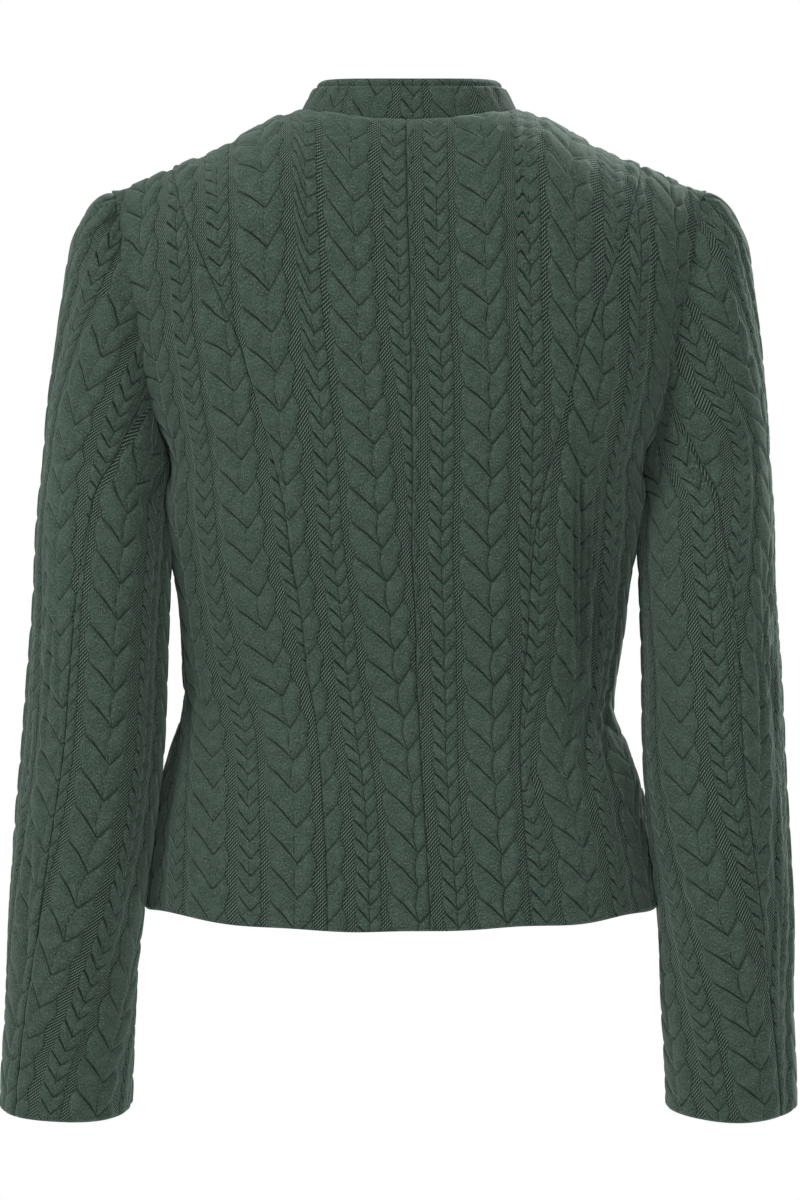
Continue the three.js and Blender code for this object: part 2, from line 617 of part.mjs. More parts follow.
// One panel: rows of the cloth between two seams, with the cables in the outer points.
// Even rows carry every mark of the pattern, odd rows only those that run up the cloth unbroken.
function panel(name, spec) {
  const { surface, normal, left, right, grain, phase, flip, rows, edge, corner, topLine } = spec;
  const { lines = () => [], sink = () => 0, relief = () => 1, leaning = lean.torso } = spec;
  const { innerRow = (row) => row % 2 === 0, innerStep } = spec;
  const lowest = rows[0];
  const highest = rows[rows.length - 1];
  const inside = (at, row) => at > left(row) + CLEAR_OF_SEAM && at < right(row) - CLEAR_OF_SEAM;
  const spot = (at, row) => ({ at, point: surface(at, row), normal: normal(at, row) });
  const end = (row, which) => {
    const at = which === 'left' ? left(row) + SEAM_GAP / 2 : right(row) - SEAM_GAP / 2;
    return { ...spot(at, row), ...(edge ? edge(row, which) : null) };
  };
  const features = (row) => {
    const list = lines(row).map((at) => ({ at, row, height: 0, raised: 0 }));
    const ease = THREE.MathUtils.clamp(Math.min(row - lowest, highest - row) / EASE_ROWS, 0, 1);
    const marks = row % 2 === 0 ? CABLE : CABLE.filter((mark) => mark.everyRow);
    for (let n = -REPEATS_EACH_WAY; n <= REPEATS_EACH_WAY; n += 1) {
      for (const mark of marks) {
        const shifted = row - (mark.drop * CHEVRON * ease) / ROW;
        const at = grain(shifted) + (flip ? -1 : 1) * (phase + n * REPEAT + mark.across);
        const onLine = lines(row).some((line) => Math.abs(line - at) < CLEAR_OF_SEAM);
        if (!inside(at, shifted) || !inside(at, row) || onLine) continue;
        const height = ease > 0 ? mark.height * relief(at, shifted) : 0;
        list.push({ at, row: shifted, height, raised: mark.height });
      }
    }
    return list.sort((a, b) => a.at - b.at).map((mark) => ({ ...mark, ...spot(mark.at, mark.row) }));
  };
  const plain = (row) => {
    const a = left(row);
    const b = right(row);
    const count = Math.max(1, Math.ceil((b - a) / innerStep));
    const even = Array.from({ length: count - 1 }, (_, k) => a + ((b - a) * (k + 1)) / count);
    const apart = (at) => lines(row).every((line) => Math.abs(line - at) > INNER_CLEARANCE);
    return [...even.filter(apart), ...lines(row)].sort((p, q) => p - q).map((at) => spot(at, row));
  };
  const withCorner = (list, row, clearance) => {
    if (!corner || row !== highest) return list;
    const at = corner(row);
    const kept = list.filter((item) => Math.abs(item.at - at) > clearance);
    return [...kept, spot(at, row)].sort((a, b) => a.at - b.at);
  };
  const build = (item, row, below) => {
    const height = (item.height ?? 0) - below - sink(item.at, row);
    return { ...vertex(item.at, item.point, item.normal, height), raised: item.raised ?? 0 };
  };
  const line = (row, middle, below) => {
    const closing = topLine && row === highest;
    const items = closing ? topLine(below > 0) : [end(row, 'left'), ...middle, end(row, 'right')];
    const points = items.map((item) => build(item, item.row ?? row, below));
    points.level = row;
    return points;
  };
  const outer = rows.map((row) => line(row, withCorner(features(row), row, CLEAR_OF_SEAM), 0));
  const innerRows = rows.filter((row) => innerRow(row) || row === lowest || row === highest);
  const inner = innerRows.map((row) => line(row, withCorner(plain(row), row, INNER_CLEARANCE), WALL));
  return { mesh: wall(name, outer, inner, leaning), outer };
}

const range = (from, to) => Array.from({ length: to - from + 1 }, (_, k) => from + k);

// The shoulder and neck edges are shared, so their points get one normal for both sides of the seam
function edgeNormal(distance, row) {
  if (row < TOP_ROW) return torsoNormal(distance, row);
  const own = torsoNormal(distance, row - 0.6);
  const point = torsoAt(distance, row);
  if (Math.abs(point.x) < NECK_HALF - 0.5) return own;
  const other = own.clone();
  other.y *= -1;
  return own.add(other).normalize();
}

const turned = (side, v) => vector(side * v.x, v.y, v.z);
const mirrored = (side, item) =>
  ({ ...item, point: turned(side, item.point), normal: turned(side, item.normal) });

// Rows that end on the armhole use its shared points, moved to their own side of the seam
function armholeEnd(side, branch, which) {
  return (row, at) => {
    if (at !== which || row < LOWER_ROWS) return null;
    const seam = armhole(branch, row - LOWER_ROWS);
    const point = seam.point.clone().addScaledVector(seam.way, -SEAM_GAP / 2);
    if (row === TOP_ROW || row === LOWER_ROWS) point.y += branch === 'back' ? SEAM_GAP / 2 : -SEAM_GAP / 2;
    return mirrored(side, { point, normal: seam.normal });
  };
}

const cornerAt = (side, branch) => () => {
  const angle = Math.asin((NECK_HALF / half(0)) ** (SECTION_POWER / 2));
  return side * runAt(TOP_ROW, branch === 'back' ? angle : Math.PI - angle);
};

function bodyPanels() {
  const rows = range(0, TOP_ROW);
  const made = {};
  for (const [side, word] of [[1, 'left'], [-1, 'right']]) {
    const spans = {
      back: { edges: [centreBack, backSeam(side)], grain: centreBack, phase: PHASE[`back_${word}`],
        corner: cornerAt(side, 'back') },
      side_back: { edges: [backSeam(side), sideEdge(side, 'back')], phase: PHASE.side_back,
        ends: { branch: 'back', at: 1 } },
      side_front: { edges: [sideEdge(side, 'front'), frontSeam(side)], phase: PHASE.side_front,
        ends: { branch: 'front', at: 0 } },
      front: { edges: [frontSeam(side), (row) => side * (halfGirth(row) + LAP)], phase: PHASE.front,
        grain: (row) => side * halfGirth(row), corner: cornerAt(side, 'front') },
    };
    for (const [kind, span] of Object.entries(spans)) {
      const [left, right] = side > 0 ? span.edges : [...span.edges].reverse();
      const grain = span.grain ?? ((row) => (span.edges[0](Math.min(row, LOWER_ROWS))
        + span.edges[1](Math.min(row, LOWER_ROWS))) / 2);
      const apart = kind.endsWith('back') ? SEAM_GAP / 2 : -SEAM_GAP / 2;
      const surface = (at, row) => {
        const point = torsoAt(at, row);
        if (row === TOP_ROW) point.y += apart;
        return point;
      };
      const spec = { surface, normal: edgeNormal, rows, left, right, grain, phase: span.phase, flip: true,
        corner: span.corner, innerStep: TORSO_INNER_STEP };
      if (span.ends) {
        const which = (span.ends.at === 1) === (side > 0) ? 'right' : 'left';
        spec.edge = armholeEnd(side, span.ends.branch, which);
      }
      if (span.ends) {
        const armpitEdge = span.edges[span.ends.at];
        spec.relief = (at, row) => (Math.abs(row - LOWER_ROWS) > ARMPIT_ROWS
          || Math.abs(armpitEdge(row) - at) > ARMPIT_REACH ? 1 : 0);
      }
      if (kind === 'front') {
        spec.lines = (row) => LAP_LINES.map((line) => side * (halfGirth(row) + line)).sort((a, b) => a - b);
        spec.relief = (at, row) => (Math.abs(at) > halfGirth(row) - LAP - LAP_SLOPE ? 0 : 1);
      }
      if (kind === 'front' && side > 0) {
        spec.sink = (at, row) => {
          const away = halfGirth(row) - at - LAP - LAP_CLEAR;
          return LAP_DEPTH * (1 - THREE.MathUtils.smoothstep(away, 0, LAP_SLOPE));
        };
      }
      made[`${kind}_${word}`] = panel(`${kind}_${word}`, spec);
    }
  }
  return made;
}

function sleeveEnd(side, branch, row) {
  const seam = armhole(branch, row);
  const point = seam.point.clone().addScaledVector(seam.way, SEAM_GAP / 2);
  return mirrored(side, { point, normal: seam.normal });
}

const onArmhole = (row) => row >= MEETING_ROW;
const sleeveInnerRow = (row) => (row < UNDERARM_ROW ? row % 4 === 0 : row % 2 === 0);

function topSleeve(side, word) {
  const edgeAngle = (branch, row) => (onArmhole(row) ? capEnd(branch, row) : sleeveSeam(branch, row));
  const surface = (at, row) => turned(side, sleeveAt(at, row));
  const normal = (at, row) => turned(side, sleeveNormal(at, row));
  const beside = (at, row) => Math.abs(at) > aroundSleeve(Math.PI / 2, row);
  const seamEnd = (branch, row) => {
    const at = aroundSleeve((branch === 'front' ? -1 : 1) * edgeAngle(branch, row), row)
      + (branch === 'front' ? SEAM_GAP / 2 : -SEAM_GAP / 2);
    return { point: surface(at, row), normal: normal(at, row) };
  };
  const corner = (branch) => sleeveEnd(side, branch, MEETING_ROW + CORNER_GAP / 2 / ROW);
  const betweenSteps = (branch, row) => {
    const low = seamEnd(branch, row - 1);
    const high = row + 1 === MEETING_ROW ? corner(branch) : seamEnd(branch, row + 1);
    return { point: low.point.lerp(high.point, 0.5), normal: low.normal.add(high.normal).normalize() };
  };
  return panel(`top_sleeve_${word}`, {
    surface,
    normal,
    rows: range(-SLEEVE_ROWS, UPPER_ROWS),
    grain: () => 0,
    phase: PHASE.sleeve,
    flip: side > 0,
    left: (row) => aroundSleeve(-edgeAngle('front', row), row),
    right: (row) => aroundSleeve(edgeAngle('back', row), row),
    edge: (row, which) => {
      const branch = which === 'left' ? 'front' : 'back';
      if (row === MEETING_ROW) return corner(branch);
      if (onArmhole(row)) return sleeveEnd(side, branch, row);
      return row > UNDERARM_ROW && row % UNDERARM_STEP !== 0 ? betweenSteps(branch, row) : null;
    },
    relief: (at, row) => (row > -ARMPIT_ROWS - 1 && row < MEETING_ROW && beside(at, row) ? 0 : 1),
    innerRow: sleeveInnerRow,
    innerStep: SLEEVE_INNER_STEP,
    leaning: lean.sleeve,
    topLine: () => [{ at: 0, ...sleeveEnd(side, 'back', UPPER_ROWS) }],
  });
}

// The under sleeve goes round the inside of the arm. Above the underarm row its rows bend into
// the curve of the armhole.
function underSleeve(side, word) {
  const angles = (row) => [sleeveSeam('back', row), 2 * Math.PI - sleeveSeam('front', row)];
  const ends = [capEnd('back', MEETING_ROW), 2 * Math.PI - capEnd('front', MEETING_ROW)];
  const steps = (MEETING_ROW - UNDERARM_ROW) / UNDERARM_STEP;
  const base = angles(UNDERARM_ROW);
  const frozen = base.map((angle) => aroundSleeve(angle, UNDERARM_ROW));
  const seam = (which) => (row) => {
    const level = Math.min(row, UNDERARM_ROW);
    return aroundSleeve(angles(level)[which], level);
  };
  const meetRow = (angle) => {
    const branch = angle < Math.PI ? 'back' : 'front';
    const goal = angle < Math.PI ? angle : 2 * Math.PI - angle;
    let low = 0;
    let high = MEETING_ROW;
    for (let turn = 0; turn < HALVINGS; turn += 1) {
      const middle = (low + high) / 2;
      if (capEnd(branch, middle) > goal) low = middle;
      else high = middle;
    }
    return high;
  };
  const pointAt = (distance, level) => {
    if (level <= UNDERARM_ROW) return sleeveAt(distance, level);
    const part = (distance - frozen[0]) / (frozen[1] - frozen[0]);
    const rise = (level - UNDERARM_ROW) / steps;
    const top = THREE.MathUtils.lerp(ends[0], ends[1], part);
    const angle = THREE.MathUtils.lerp(THREE.MathUtils.lerp(base[0], base[1], part), top, rise);
    const row = THREE.MathUtils.lerp(UNDERARM_ROW, meetRow(top), rise);
    return sleevePoint(wrap(angle), row);
  };
  const highest = UNDERARM_ROW + steps;
  const normalAt = (distance, level) => {
    if (level <= UNDERARM_ROW - 2 * NORMAL_STEP.up) return sleeveNormal(distance, level);
    const point = pointAt(distance, level);
    const way = normalOf(pointAt, distance, level, -SLEEVE_ROWS, highest - SHORT_OF_SHOULDER);
    return outward(way, point, vector(UNDERARM_CORE_X, 0, point.z));
  };
  const samples = (sunk) => {
    const list = [];
    const add = (branch, row) => {
      const angle = branch === 'back' ? capEnd('back', row) : 2 * Math.PI - capEnd('front', row);
      const part = (angle - ends[0]) / (ends[1] - ends[0]);
      const gap = row === MEETING_ROW ? CORNER_GAP / 2 : 0;
      const item = sleeveEnd(side, branch, row - gap / ROW);
      list.push({ at: THREE.MathUtils.lerp(frozen[0], frozen[1], part), ...item });
    };
    const step = sunk ? 2 : 1;
    for (let row = MEETING_ROW; row >= 0; row -= step) add('back', row);
    for (let row = step; row <= MEETING_ROW; row += step) add('front', row);
    return list;
  };
  return panel(`under_sleeve_${word}`, {
    surface: (distance, row) => turned(side, pointAt(distance, row)),
    normal: (distance, row) => turned(side, normalAt(distance, row)),
    rows: range(-SLEEVE_ROWS, highest),
    grain: (row) => aroundSleeve(Math.PI, Math.min(row, UNDERARM_ROW)),
    phase: PHASE.under_sleeve,
    relief: (distance, row) => (row > UNDERARM_ROW - ARMPIT_ROWS ? 0 : 1),
    innerRow: (row) => sleeveInnerRow(row) || row > UNDERARM_ROW,
    innerStep: SLEEVE_INNER_STEP,
    leaning: lean.sleeve,
    flip: side > 0,
    left: seam(0),
    right: seam(1),
    edge: (level, which) => {
      if (level <= UNDERARM_ROW) return null;
      const row = UNDERARM_ROW + (level - UNDERARM_ROW) * UNDERARM_STEP;
      const branch = which === 'left' ? 'back' : 'front';
      const sign = which === 'left' ? 1 : -1;
      const distance = aroundSleeve(sign * sleeveSeam(branch, row), row) + (sign * SEAM_GAP) / 2;
      return mirrored(side, { point: sleeveAt(distance, row), normal: sleeveNormal(distance, row) });
    },
    topLine: samples,
  });
}

// The stand collar goes on from the points of the neck seam, from the right front round to the left
function collar(body) {
  const neck = [];
  for (const name of ['front_right', 'back_right', 'back_left', 'front_left']) {
    const line = body[name].outer[body[name].outer.length - 1];
    const inLap = (x) => name === 'front_left' && x < LAP + 1;
    neck.push(...line.filter(({ point }) => Math.abs(point.x) < NECK_HALF + 1 && !inLap(point.x)));
  }
  const before = (item) => Math.atan2(item.point.x, item.point.y);
  const around = neck.filter((item) => Math.abs(item.point.y) > 1 || Math.abs(item.point.x) > NECK_HALF - 2)
    .sort((a, b) => before(a) - before(b));
  const apart = (item, k) => k === 0 || item.point.distanceTo(around[k - 1].point) > SEAM_GAP / 2;
  const onFront = ({ point }) => point.y < 0 && Math.abs(point.x) < COLLAR_END + COLLAR_END_CLEAR;
  const bottom = around.filter(apart).filter((item) => !onFront(item));
  const endPoint = (side) =>
    ({ point: vector(side * COLLAR_END, -NECK_FRONT - SEAM_GAP / 2, NECK_FRONT_Z), raised: 0 });
  const line = [endPoint(-1), ...bottom, endPoint(1)];
  const topOf = (point) => {
    const along = Math.sqrt(Math.max(0, 1 - (point.x / (NECK_HALF + 0.6)) ** 2));
    const back = point.y > 0;
    const x = point.x * (COLLAR_TOP_HALF / NECK_HALF);
    const y = (back ? COLLAR_TOP_BACK : -COLLAR_TOP_FRONT) * along;
    const fall = along ** (back ? NECK_BACK_POWER : NECK_FRONT_POWER);
    return vector(x, y, THREE.MathUtils.lerp(COLLAR_SIDE_Z, back ? COLLAR_BACK_Z : COLLAR_FRONT_Z, fall));
  };
  const rowOf = (part, below) => line.map((item, k) => {
    const top = topOf(item.point);
    if (k === 0 || k === line.length - 1) top.x = item.point.x;
    const up = top.clone().sub(item.point).normalize();
    const foot = item.point.clone().addScaledVector(up, SEAM_GAP);
    const last = line[Math.max(k - 1, 0)].point;
    const next = line[Math.min(k + 1, line.length - 1)].point;
    const axis = vector(0, 0, item.point.z);
    const normal = outward(next.clone().sub(last).cross(up).normalize(), item.point, axis);
    const raised = part > 0 && part < 1 && below === 0 ? item.raised : 0;
    return vertex(k, foot.lerp(top, part), normal, raised - below);
  });
  const levels = (list, below) => list.map((part) => {
    const row = rowOf(part, below);
    row.level = part;
    return row;
  });
  return wall('collar', levels(COLLAR_LEVELS, 0), levels([0, 1], WALL), lean.torso);
}

// Domed buttons down the centre front, seated on the right front
function buttons() {
  const profile = BUTTON_PROFILE.map(([x, y]) => new THREE.Vector2(x, y));
  return BUTTON_ROWS.map((row, k) => {
    const at = -halfGirth(row);
    const normal = torsoNormal(at, row);
    const geometry = new THREE.LatheGeometry(profile, BUTTON_SIDES);
    const mesh = new THREE.Mesh(geometry, HORN);
    mesh.name = `button_${k + 1}`;
    mesh.quaternion.setFromUnitVectors(vector(0, 1, 0), normal);
    mesh.position.copy(torsoAt(at, row)).addScaledVector(normal, BUTTON_SEAT);
    mesh.position.x += lean.torso(mesh.position.z);
    return mesh;
  });
}

const jacket = new THREE.Group();
const body = bodyPanels();
for (const part of Object.values(body)) jacket.add(part.mesh);
for (const [side, word] of [[1, 'left'], [-1, 'right']]) {
  jacket.add(topSleeve(side, word).mesh);
  jacket.add(underSleeve(side, word).mesh);
}
jacket.add(collar(body));
for (const mesh of buttons()) jacket.add(mesh);

export default jacket;
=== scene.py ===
# A fitted jacket in a cable-pattern sweat cloth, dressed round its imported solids.
# Lengths in the tables are millimetres, in the frame of the solids: +Z up, the wearer's left is +X.

import bpy
import numpy as np
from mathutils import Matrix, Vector


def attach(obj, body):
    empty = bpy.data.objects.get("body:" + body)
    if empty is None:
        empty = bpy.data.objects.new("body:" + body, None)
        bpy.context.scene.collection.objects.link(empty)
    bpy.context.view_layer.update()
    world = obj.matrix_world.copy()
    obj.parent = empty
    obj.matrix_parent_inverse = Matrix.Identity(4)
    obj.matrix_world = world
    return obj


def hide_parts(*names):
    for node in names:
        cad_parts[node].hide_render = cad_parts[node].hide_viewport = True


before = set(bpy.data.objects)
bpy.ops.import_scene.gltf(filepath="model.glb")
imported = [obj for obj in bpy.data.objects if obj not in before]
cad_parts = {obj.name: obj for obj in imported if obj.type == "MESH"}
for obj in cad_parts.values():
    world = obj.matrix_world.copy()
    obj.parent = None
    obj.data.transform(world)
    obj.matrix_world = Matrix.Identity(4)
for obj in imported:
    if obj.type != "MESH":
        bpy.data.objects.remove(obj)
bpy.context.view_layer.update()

MM = 0.001

# Cloth and seams. Pieces overlap a little at a seam, so that no light shows between them.
WALL = 1.8
SEAM_GAP = -0.2
SEAM_DEPTH = 0.55
SEAM_WIDTH = 1.1
SEAM_FLAT = 2.4
SEAM_RELIEF = 0.45
NECK_FLAT = 16.0
NECK_RELIEF = 0.1
FOLD_FADE = 7
# Trough depths over which a fold's painted shade grows from none to full
FOLD_SHADE = (0.9, 4)
ARMHOLE_FILL = 2.2
ARMHOLE_REACH = 14.0
TIP_ROWS = 5
EDGE_ROLL = 2.2
EDGE_DROP = 0.8
EDGE_FADE = (-0.5, 2.5)
INNER_EVERY = 8
HEM_WAVER = 0.8
WAVER_CENTRE = 150.0
WAVER_REACH = 70
WAVES_ROUND = 7
WAVE_LONG = 41
WAVE_SHORT = 13
SHORT_SHARE = 0.6
FAR = 99.0
OUTSIDE = -9.0

# Fine ribs and stitches of the finish, in metres
RIB_PITCH = 0.0023
STITCH_PITCH = 0.0015

# Camera
SENSOR = 36
CAMERA_SPOT = (2.7, 3000, -326.4)
VIEW_TALL = 816

# Spacing of the points on each kind of piece
SPACING = {"back": 1.2, "side_back": 1.2, "side_front": 2.1, "front": 2.1, "sleeve": 1.45, "collar": 1.0}


def table(names, *rows):
    """Named columns from rows of numbers."""
    return {name: np.array(column, float) for name, column in zip(names.split(), zip(*rows))}


# Cable pattern: one repeat across, the pitch of a wide lobe up the cloth, and its two braids
REPEAT = 60.0
ROW = 11.6
PITCH = 2 * ROW
BRAIDS = [
    {"centre": 0.0, "left": 18.0, "right": 12.2, "pitch": PITCH, "height": 2.2, "soft": 3.8, "bulge": 1.7,
     "sway": 2.2, "lift": 1.0},
    {"centre": 28.0, "left": 8.3, "right": 7.5, "pitch": ROW, "height": 1.4, "soft": 2.8, "bulge": 0.9,
     "sway": 0.9, "lift": 1.35},
]
LEFT_GROOVE = table("part rise", (0, 0), (0.08, 0.13), (0.2, 0.28), (0.42, 0.5), (0.68, 0.68), (0.9, 0.82),
                    (1, 0.92))
RIGHT_GROOVE = table("part rise", (0, 0), (0.2, 0.07), (0.42, 0.17), (0.7, 0.29), (0.93, 0.43), (1, 0.5))
GROOVE_SLANT = 0.62
GROOVE_FLOOR = 0.25
GROOVE_FADE = (1.1, 0.5)
EDGE_SHARE = 0.4
VALLEY_SLOPE = 1.1
VALLEY_FLOOR = 0.15
# Share of painted shade in the grooves on a braid's right-hand side, against 1 for those on its left
RIGHT_GROOVE_SHADE = 0.6

# Torso
SECTION_POWER = 2.4
ARMPIT_Z = -235.0
HEM_BACK_Z = -543.0
HEM_SIDE_Z = -533.0
LOWER_ROWS = 26
UPPER_ROWS = 21
TOP_ROW = LOWER_ROWS + UPPER_ROWS
TORSO = table(
    "z half back front",
    (-545, 177, 112, 108), (-500, 171, 110, 106), (-460, 161.5, 104, 101), (-430, 152.5, 94, 97),
    (-400, 145, 84, 95), (-375, 146.5, 83, 97), (-347, 149.3, 86, 102), (-320, 152, 89, 108),
    (-290, 156, 93, 116), (-262, 159.5, 96, 122), (-235, 159.3, 98, 127), (-209, 170.5, 100, 128),
    (-177, 181.5, 102, 124), (-150, 188.5, 103, 117), (-120, 196, 103, 108), (-96, 203, 102, 101),
    (-60, 206, 102, 96), (10, 206, 102, 94),
)
NECK_HALF = 74.0
NECK_BACK = 60.0
NECK_FRONT = 58.0
NECK_BACK_Z = -6.0
NECK_SIDE_Z = 5.0
NECK_FRONT_Z = -58.0
NECK_BACK_POWER = 2.0
NECK_FRONT_POWER = 1.6
SHOULDER_PULL = 4
SHOULDER = table(
    "x z", (74, 5), (86, 2), (99, -4.5), (113, -12), (126, -19), (140, -25.5), (154, -31),
    (167, -36.5), (181, -42.5), (206, -52),
)
ROUNDING = table("x back front", (0, 100, 105), (74, 82, 88), (206, 78, 82))
ARMHOLE = table(
    "part back front", (0, 92, 92), (0.08, 83, 100), (0.2, 75, 107), (0.35, 70, 112), (0.5, 68, 114),
    (0.7, 68.5, 113), (0.85, 71, 110), (1, 77, 103),
)
SEAMS = table(
    "z drift back front", (-548, -18, 67, 84), (-483, -17.5, 66, 80), (-435, -16.5, 66.5, 76),
    (-409, -14.5, 68, 75), (-367, -10.5, 73, 78), (-319, -7.5, 77.5, 84), (-260, -4.8, 86, 92),
    (-211, -3, 99, 99), (-154, -1.5, 116, 112), (-112, -0.5, 134, 128), (-70, 1, 151, 146),
    (-28, 2, 164, 164),
)
LEAN = table(
    "z torso sleeve", (-682, 1, 3.7), (-592, 1, 3.2), (-545, 1, 2.2), (-500, 2.5, 1.8), (-460, 4.5, 1.2),
    (-430, 5.4, 0.5), (-401, 4.2, 0), (-374, 3, -0.3), (-345, 1.2, -0.4), (-292, 0.9, -0.5),
    (-235, -1.8, -1.8), (-150, -3, -3), (30, -3.7, -3.7),
)

# Sleeves
SLEEVE = table(
    "z inner outer middle depth",
    (-682, 182.3, 267.8, 16, 39), (-646, 180.5, 266.5, 24, 40.5), (-592, 177.5, 263.5, 33, 42.5),
    (-537, 173.8, 262, 39, 44.5), (-480, 167, 258.5, 40, 47), (-428, 162.5, 255, 36, 49),
    (-374, 161.2, 252.8, 29, 51), (-320, 160, 250.5, 21, 54), (-285, 160.5, 249.5, 14, 55.5),
    (-258, 162.5, 248, 6.5, 56.5), (-246, 163, 247, 2, 57), (-235, 159.8, 246, -2.5, 57),
)
CUFF_BACK_Z = -675.0
CUFF_FRONT_Z = -664.0
SLEEVE_ROWS = 38
CAP = table(
    "x z", (246, -235), (243.5, -197), (238.7, -156), (233, -116), (229, -88), (224, -75),
    (216, -61.5), (202, -50),
)
CAP_POWER = 4
CAP_RISE = 0.9
CAP_SPARE = 1.02
CAP_LEAST = 0.5
SLEEVE_SEAMS = table(
    "row hind fore", (-38, 42, 128), (-32, 50, 127), (-27, 60, 126), (-18, 69, 126), (-8, 74, 125),
    (-2, 86, 124),
)
UNDERARM_ROW = -2
MEETING_ROW = 6
UNDERARM_ROWS = 4
SHORT_OF_SHOULDER = 0.05
LAST_ROW = {"top": UPPER_ROWS - SHORT_OF_SHOULDER, "under": UNDERARM_ROW + UNDERARM_ROWS}

# Closure and collar
LAP = 15.0
LAP_DEPTH = 3.0
LAP_SLOPE = 20.0
LAP_CLEAR = 2.0
COLLAR_TOP_HALF = 61.0
COLLAR_TOP_BACK = 53.0
COLLAR_TOP_FRONT = 50.0
COLLAR_BACK_Z = 22.5
COLLAR_SIDE_Z = 26.0
COLLAR_FRONT_Z = -33.0
COLLAR_END = 1.0
COLLAR_STITCH = 5.0
COLLAR_ACROSS = 25.5
COLLAR_UP = 7.0
COLLAR_RELIEF = 0.6
STITCH_WIDTH = 0.8
STITCH_DEPTH = 0.5

# Buttons
BUTTON_ROWS = (37.2, 30.6, 24, 17.4, 10.8, 4.2)
BUTTON_SEAT = 0.6
BUTTON_SIDES = 48
BUTTON_PROFILE = table(
    "r h", (0, 2.6), (2.5, 2.7), (4.2, 3.1), (5.6, 3.9), (7.2, 4.6), (8.8, 4.5), (10, 3.7), (10.5, 2.4),
    (10.3, 1.2), (9.4, 0.35), (7, 0), (0, 0),
)

# Where the middle of a wide cable lies, as rows and distances: on the backs and sides from a seam of
# the panel, on the fronts from the centre front, and on a sleeve from its outer line
VALLEYS = {
    "back_left": (
        (0, 7), (4.2, 6), (8, 6.3), (11.8, 10), (15.4, 14.2), (19.3, 17.9), (23, 22), (27, 25.5),
        (30.8, 30), (34.5, 34), (38.3, 35), (42.4, 35.7), (47, 36.5)),
    "back_right": (
        (0, 51), (8, 49), (13.4, 51), (21, 51.5), (30, 52.5), (34, 51.3), (42, 51.5), (47, 51.5)),
    "side_back_left": (
        (0, 20.5), (5.9, 19), (10.5, 18), (13.3, 21), (14.9, 23.4), (18.4, 28.4), (22.4, 28.2),
        (24.3, 26.6), (26.4, 22.3), (28.2, 17), (30.3, 12), (31.8, 7), (33.8, 1), (35.5, -8), (37.5, -17),
        (40, -26), (42, -33), (47, -46)),
    "side_back_right": (
        (0, 43), (4.4, 40.7), (6.4, 37), (8.2, 32.5), (9.9, 33), (11.8, 36.6), (14, 39.2), (18.8, 39.5),
        (21, 37), (23.2, 33.2), (25.6, 28.5), (28.4, 24.6), (31.4, 18.4), (33, 12), (34.5, 4), (36, -4),
        (38, -13), (40, -22), (42, -29), (47, -42)),
    "side_front": (
        (0, 60), (47, 60)),
    "front": (
        (0, 36), (47, 36)),
    "under_left": (
        (-38, 26), (-34.2, 35.5), (-32.5, 42.5), (-30.5, 51), (-28.9, 58), (-26.5, 68.8), (-25, 74.4),
        (-23.4, 79.4), (-21.8, 83.6), (-17.4, 89.4), (-12.9, 91.6), (-9, 93), (-4.9, 97.4), (-2.6, 99.7),
        (2, 103)),
    "top_left": (
        (-38, 18), (-26, 42), (-19, 54), (-15.1, 57), (-13, 55), (-7.9, 52.4), (-2.7, 52), (0, 53),
        (2.8, 57.3), (5, 63), (7.5, 71.2), (9.6, 79.5), (11.1, 86), (21, 120)),
    "under_right": (
        (-38, 42), (-33.2, 51), (-31, 57), (-28.8, 64.5), (-26.7, 72.5), (-25.1, 78.1), (-23.2, 84),
        (-21, 91), (-18.8, 96.5), (-16.9, 100.3), (-12.5, 103.5), (-8.9, 107.6), (-6.7, 111),
        (-4.7, 112.8), (2, 116)),
    "top_right": (
        (-38, 62), (-27.4, 55), (-24.4, 51.5), (-21.2, 47), (-18.8, 44.5), (-12, 41), (-8, 33),
        (-3.3, 25.5), (0.4, 22.5), (2.6, 25.5), (4.8, 34.4), (6.9, 44), (9.3, 53.4), (11.5, 62.4),
        (15, 76), (21, 94)),
}
# A row where the two sides of a wide cable meet in a point
MEETINGS = {"back_left": 19.3, "back_right": 19.25, "side_back_left": 18.4, "side_back_right": 23.2,
            "side_front": 20, "front": 20, "under_left": -4.9, "top_left": 7.5, "under_right": -12.9,
            "top_right": 6.9}
TORSO_PITCH = 22.9
LEAN_REACH = 42.0
SLEEVE_PITCH = 24.2
AROUND = 720
UP = 252
COLUMN_STEPS = 120
SETTLING_TURNS = 5


def curve(rows, key, value):
    """A smooth curve through a table's column: a cubic between each two rows, with the slope at a
    row taken between its neighbours."""
    at = rows[key]
    of = rows[value]
    low = np.maximum(np.arange(len(at)) - 1, 0)
    high = np.minimum(np.arange(len(at)) + 1, len(at) - 1)
    slope = (of[high] - of[low]) / (at[high] - at[low])

    def read(t):
        x = np.clip(t, at[0], at[-1])
        k = np.clip(np.searchsorted(at, x) - 1, 0, len(at) - 2)
        step = at[k + 1] - at[k]
        u = (x - at[k]) / step
        start = (1 + 2 * u) * (1 - u) ** 2 * of[k] + u * (1 - u) ** 2 * step * slope[k]
        end = u * u * (3 - 2 * u) * of[k + 1] + u * u * (u - 1) * step * slope[k + 1]
        return start + end

    return read


def curves(rows, key, *values):
    return {value: curve(rows, key, value) for value in values}


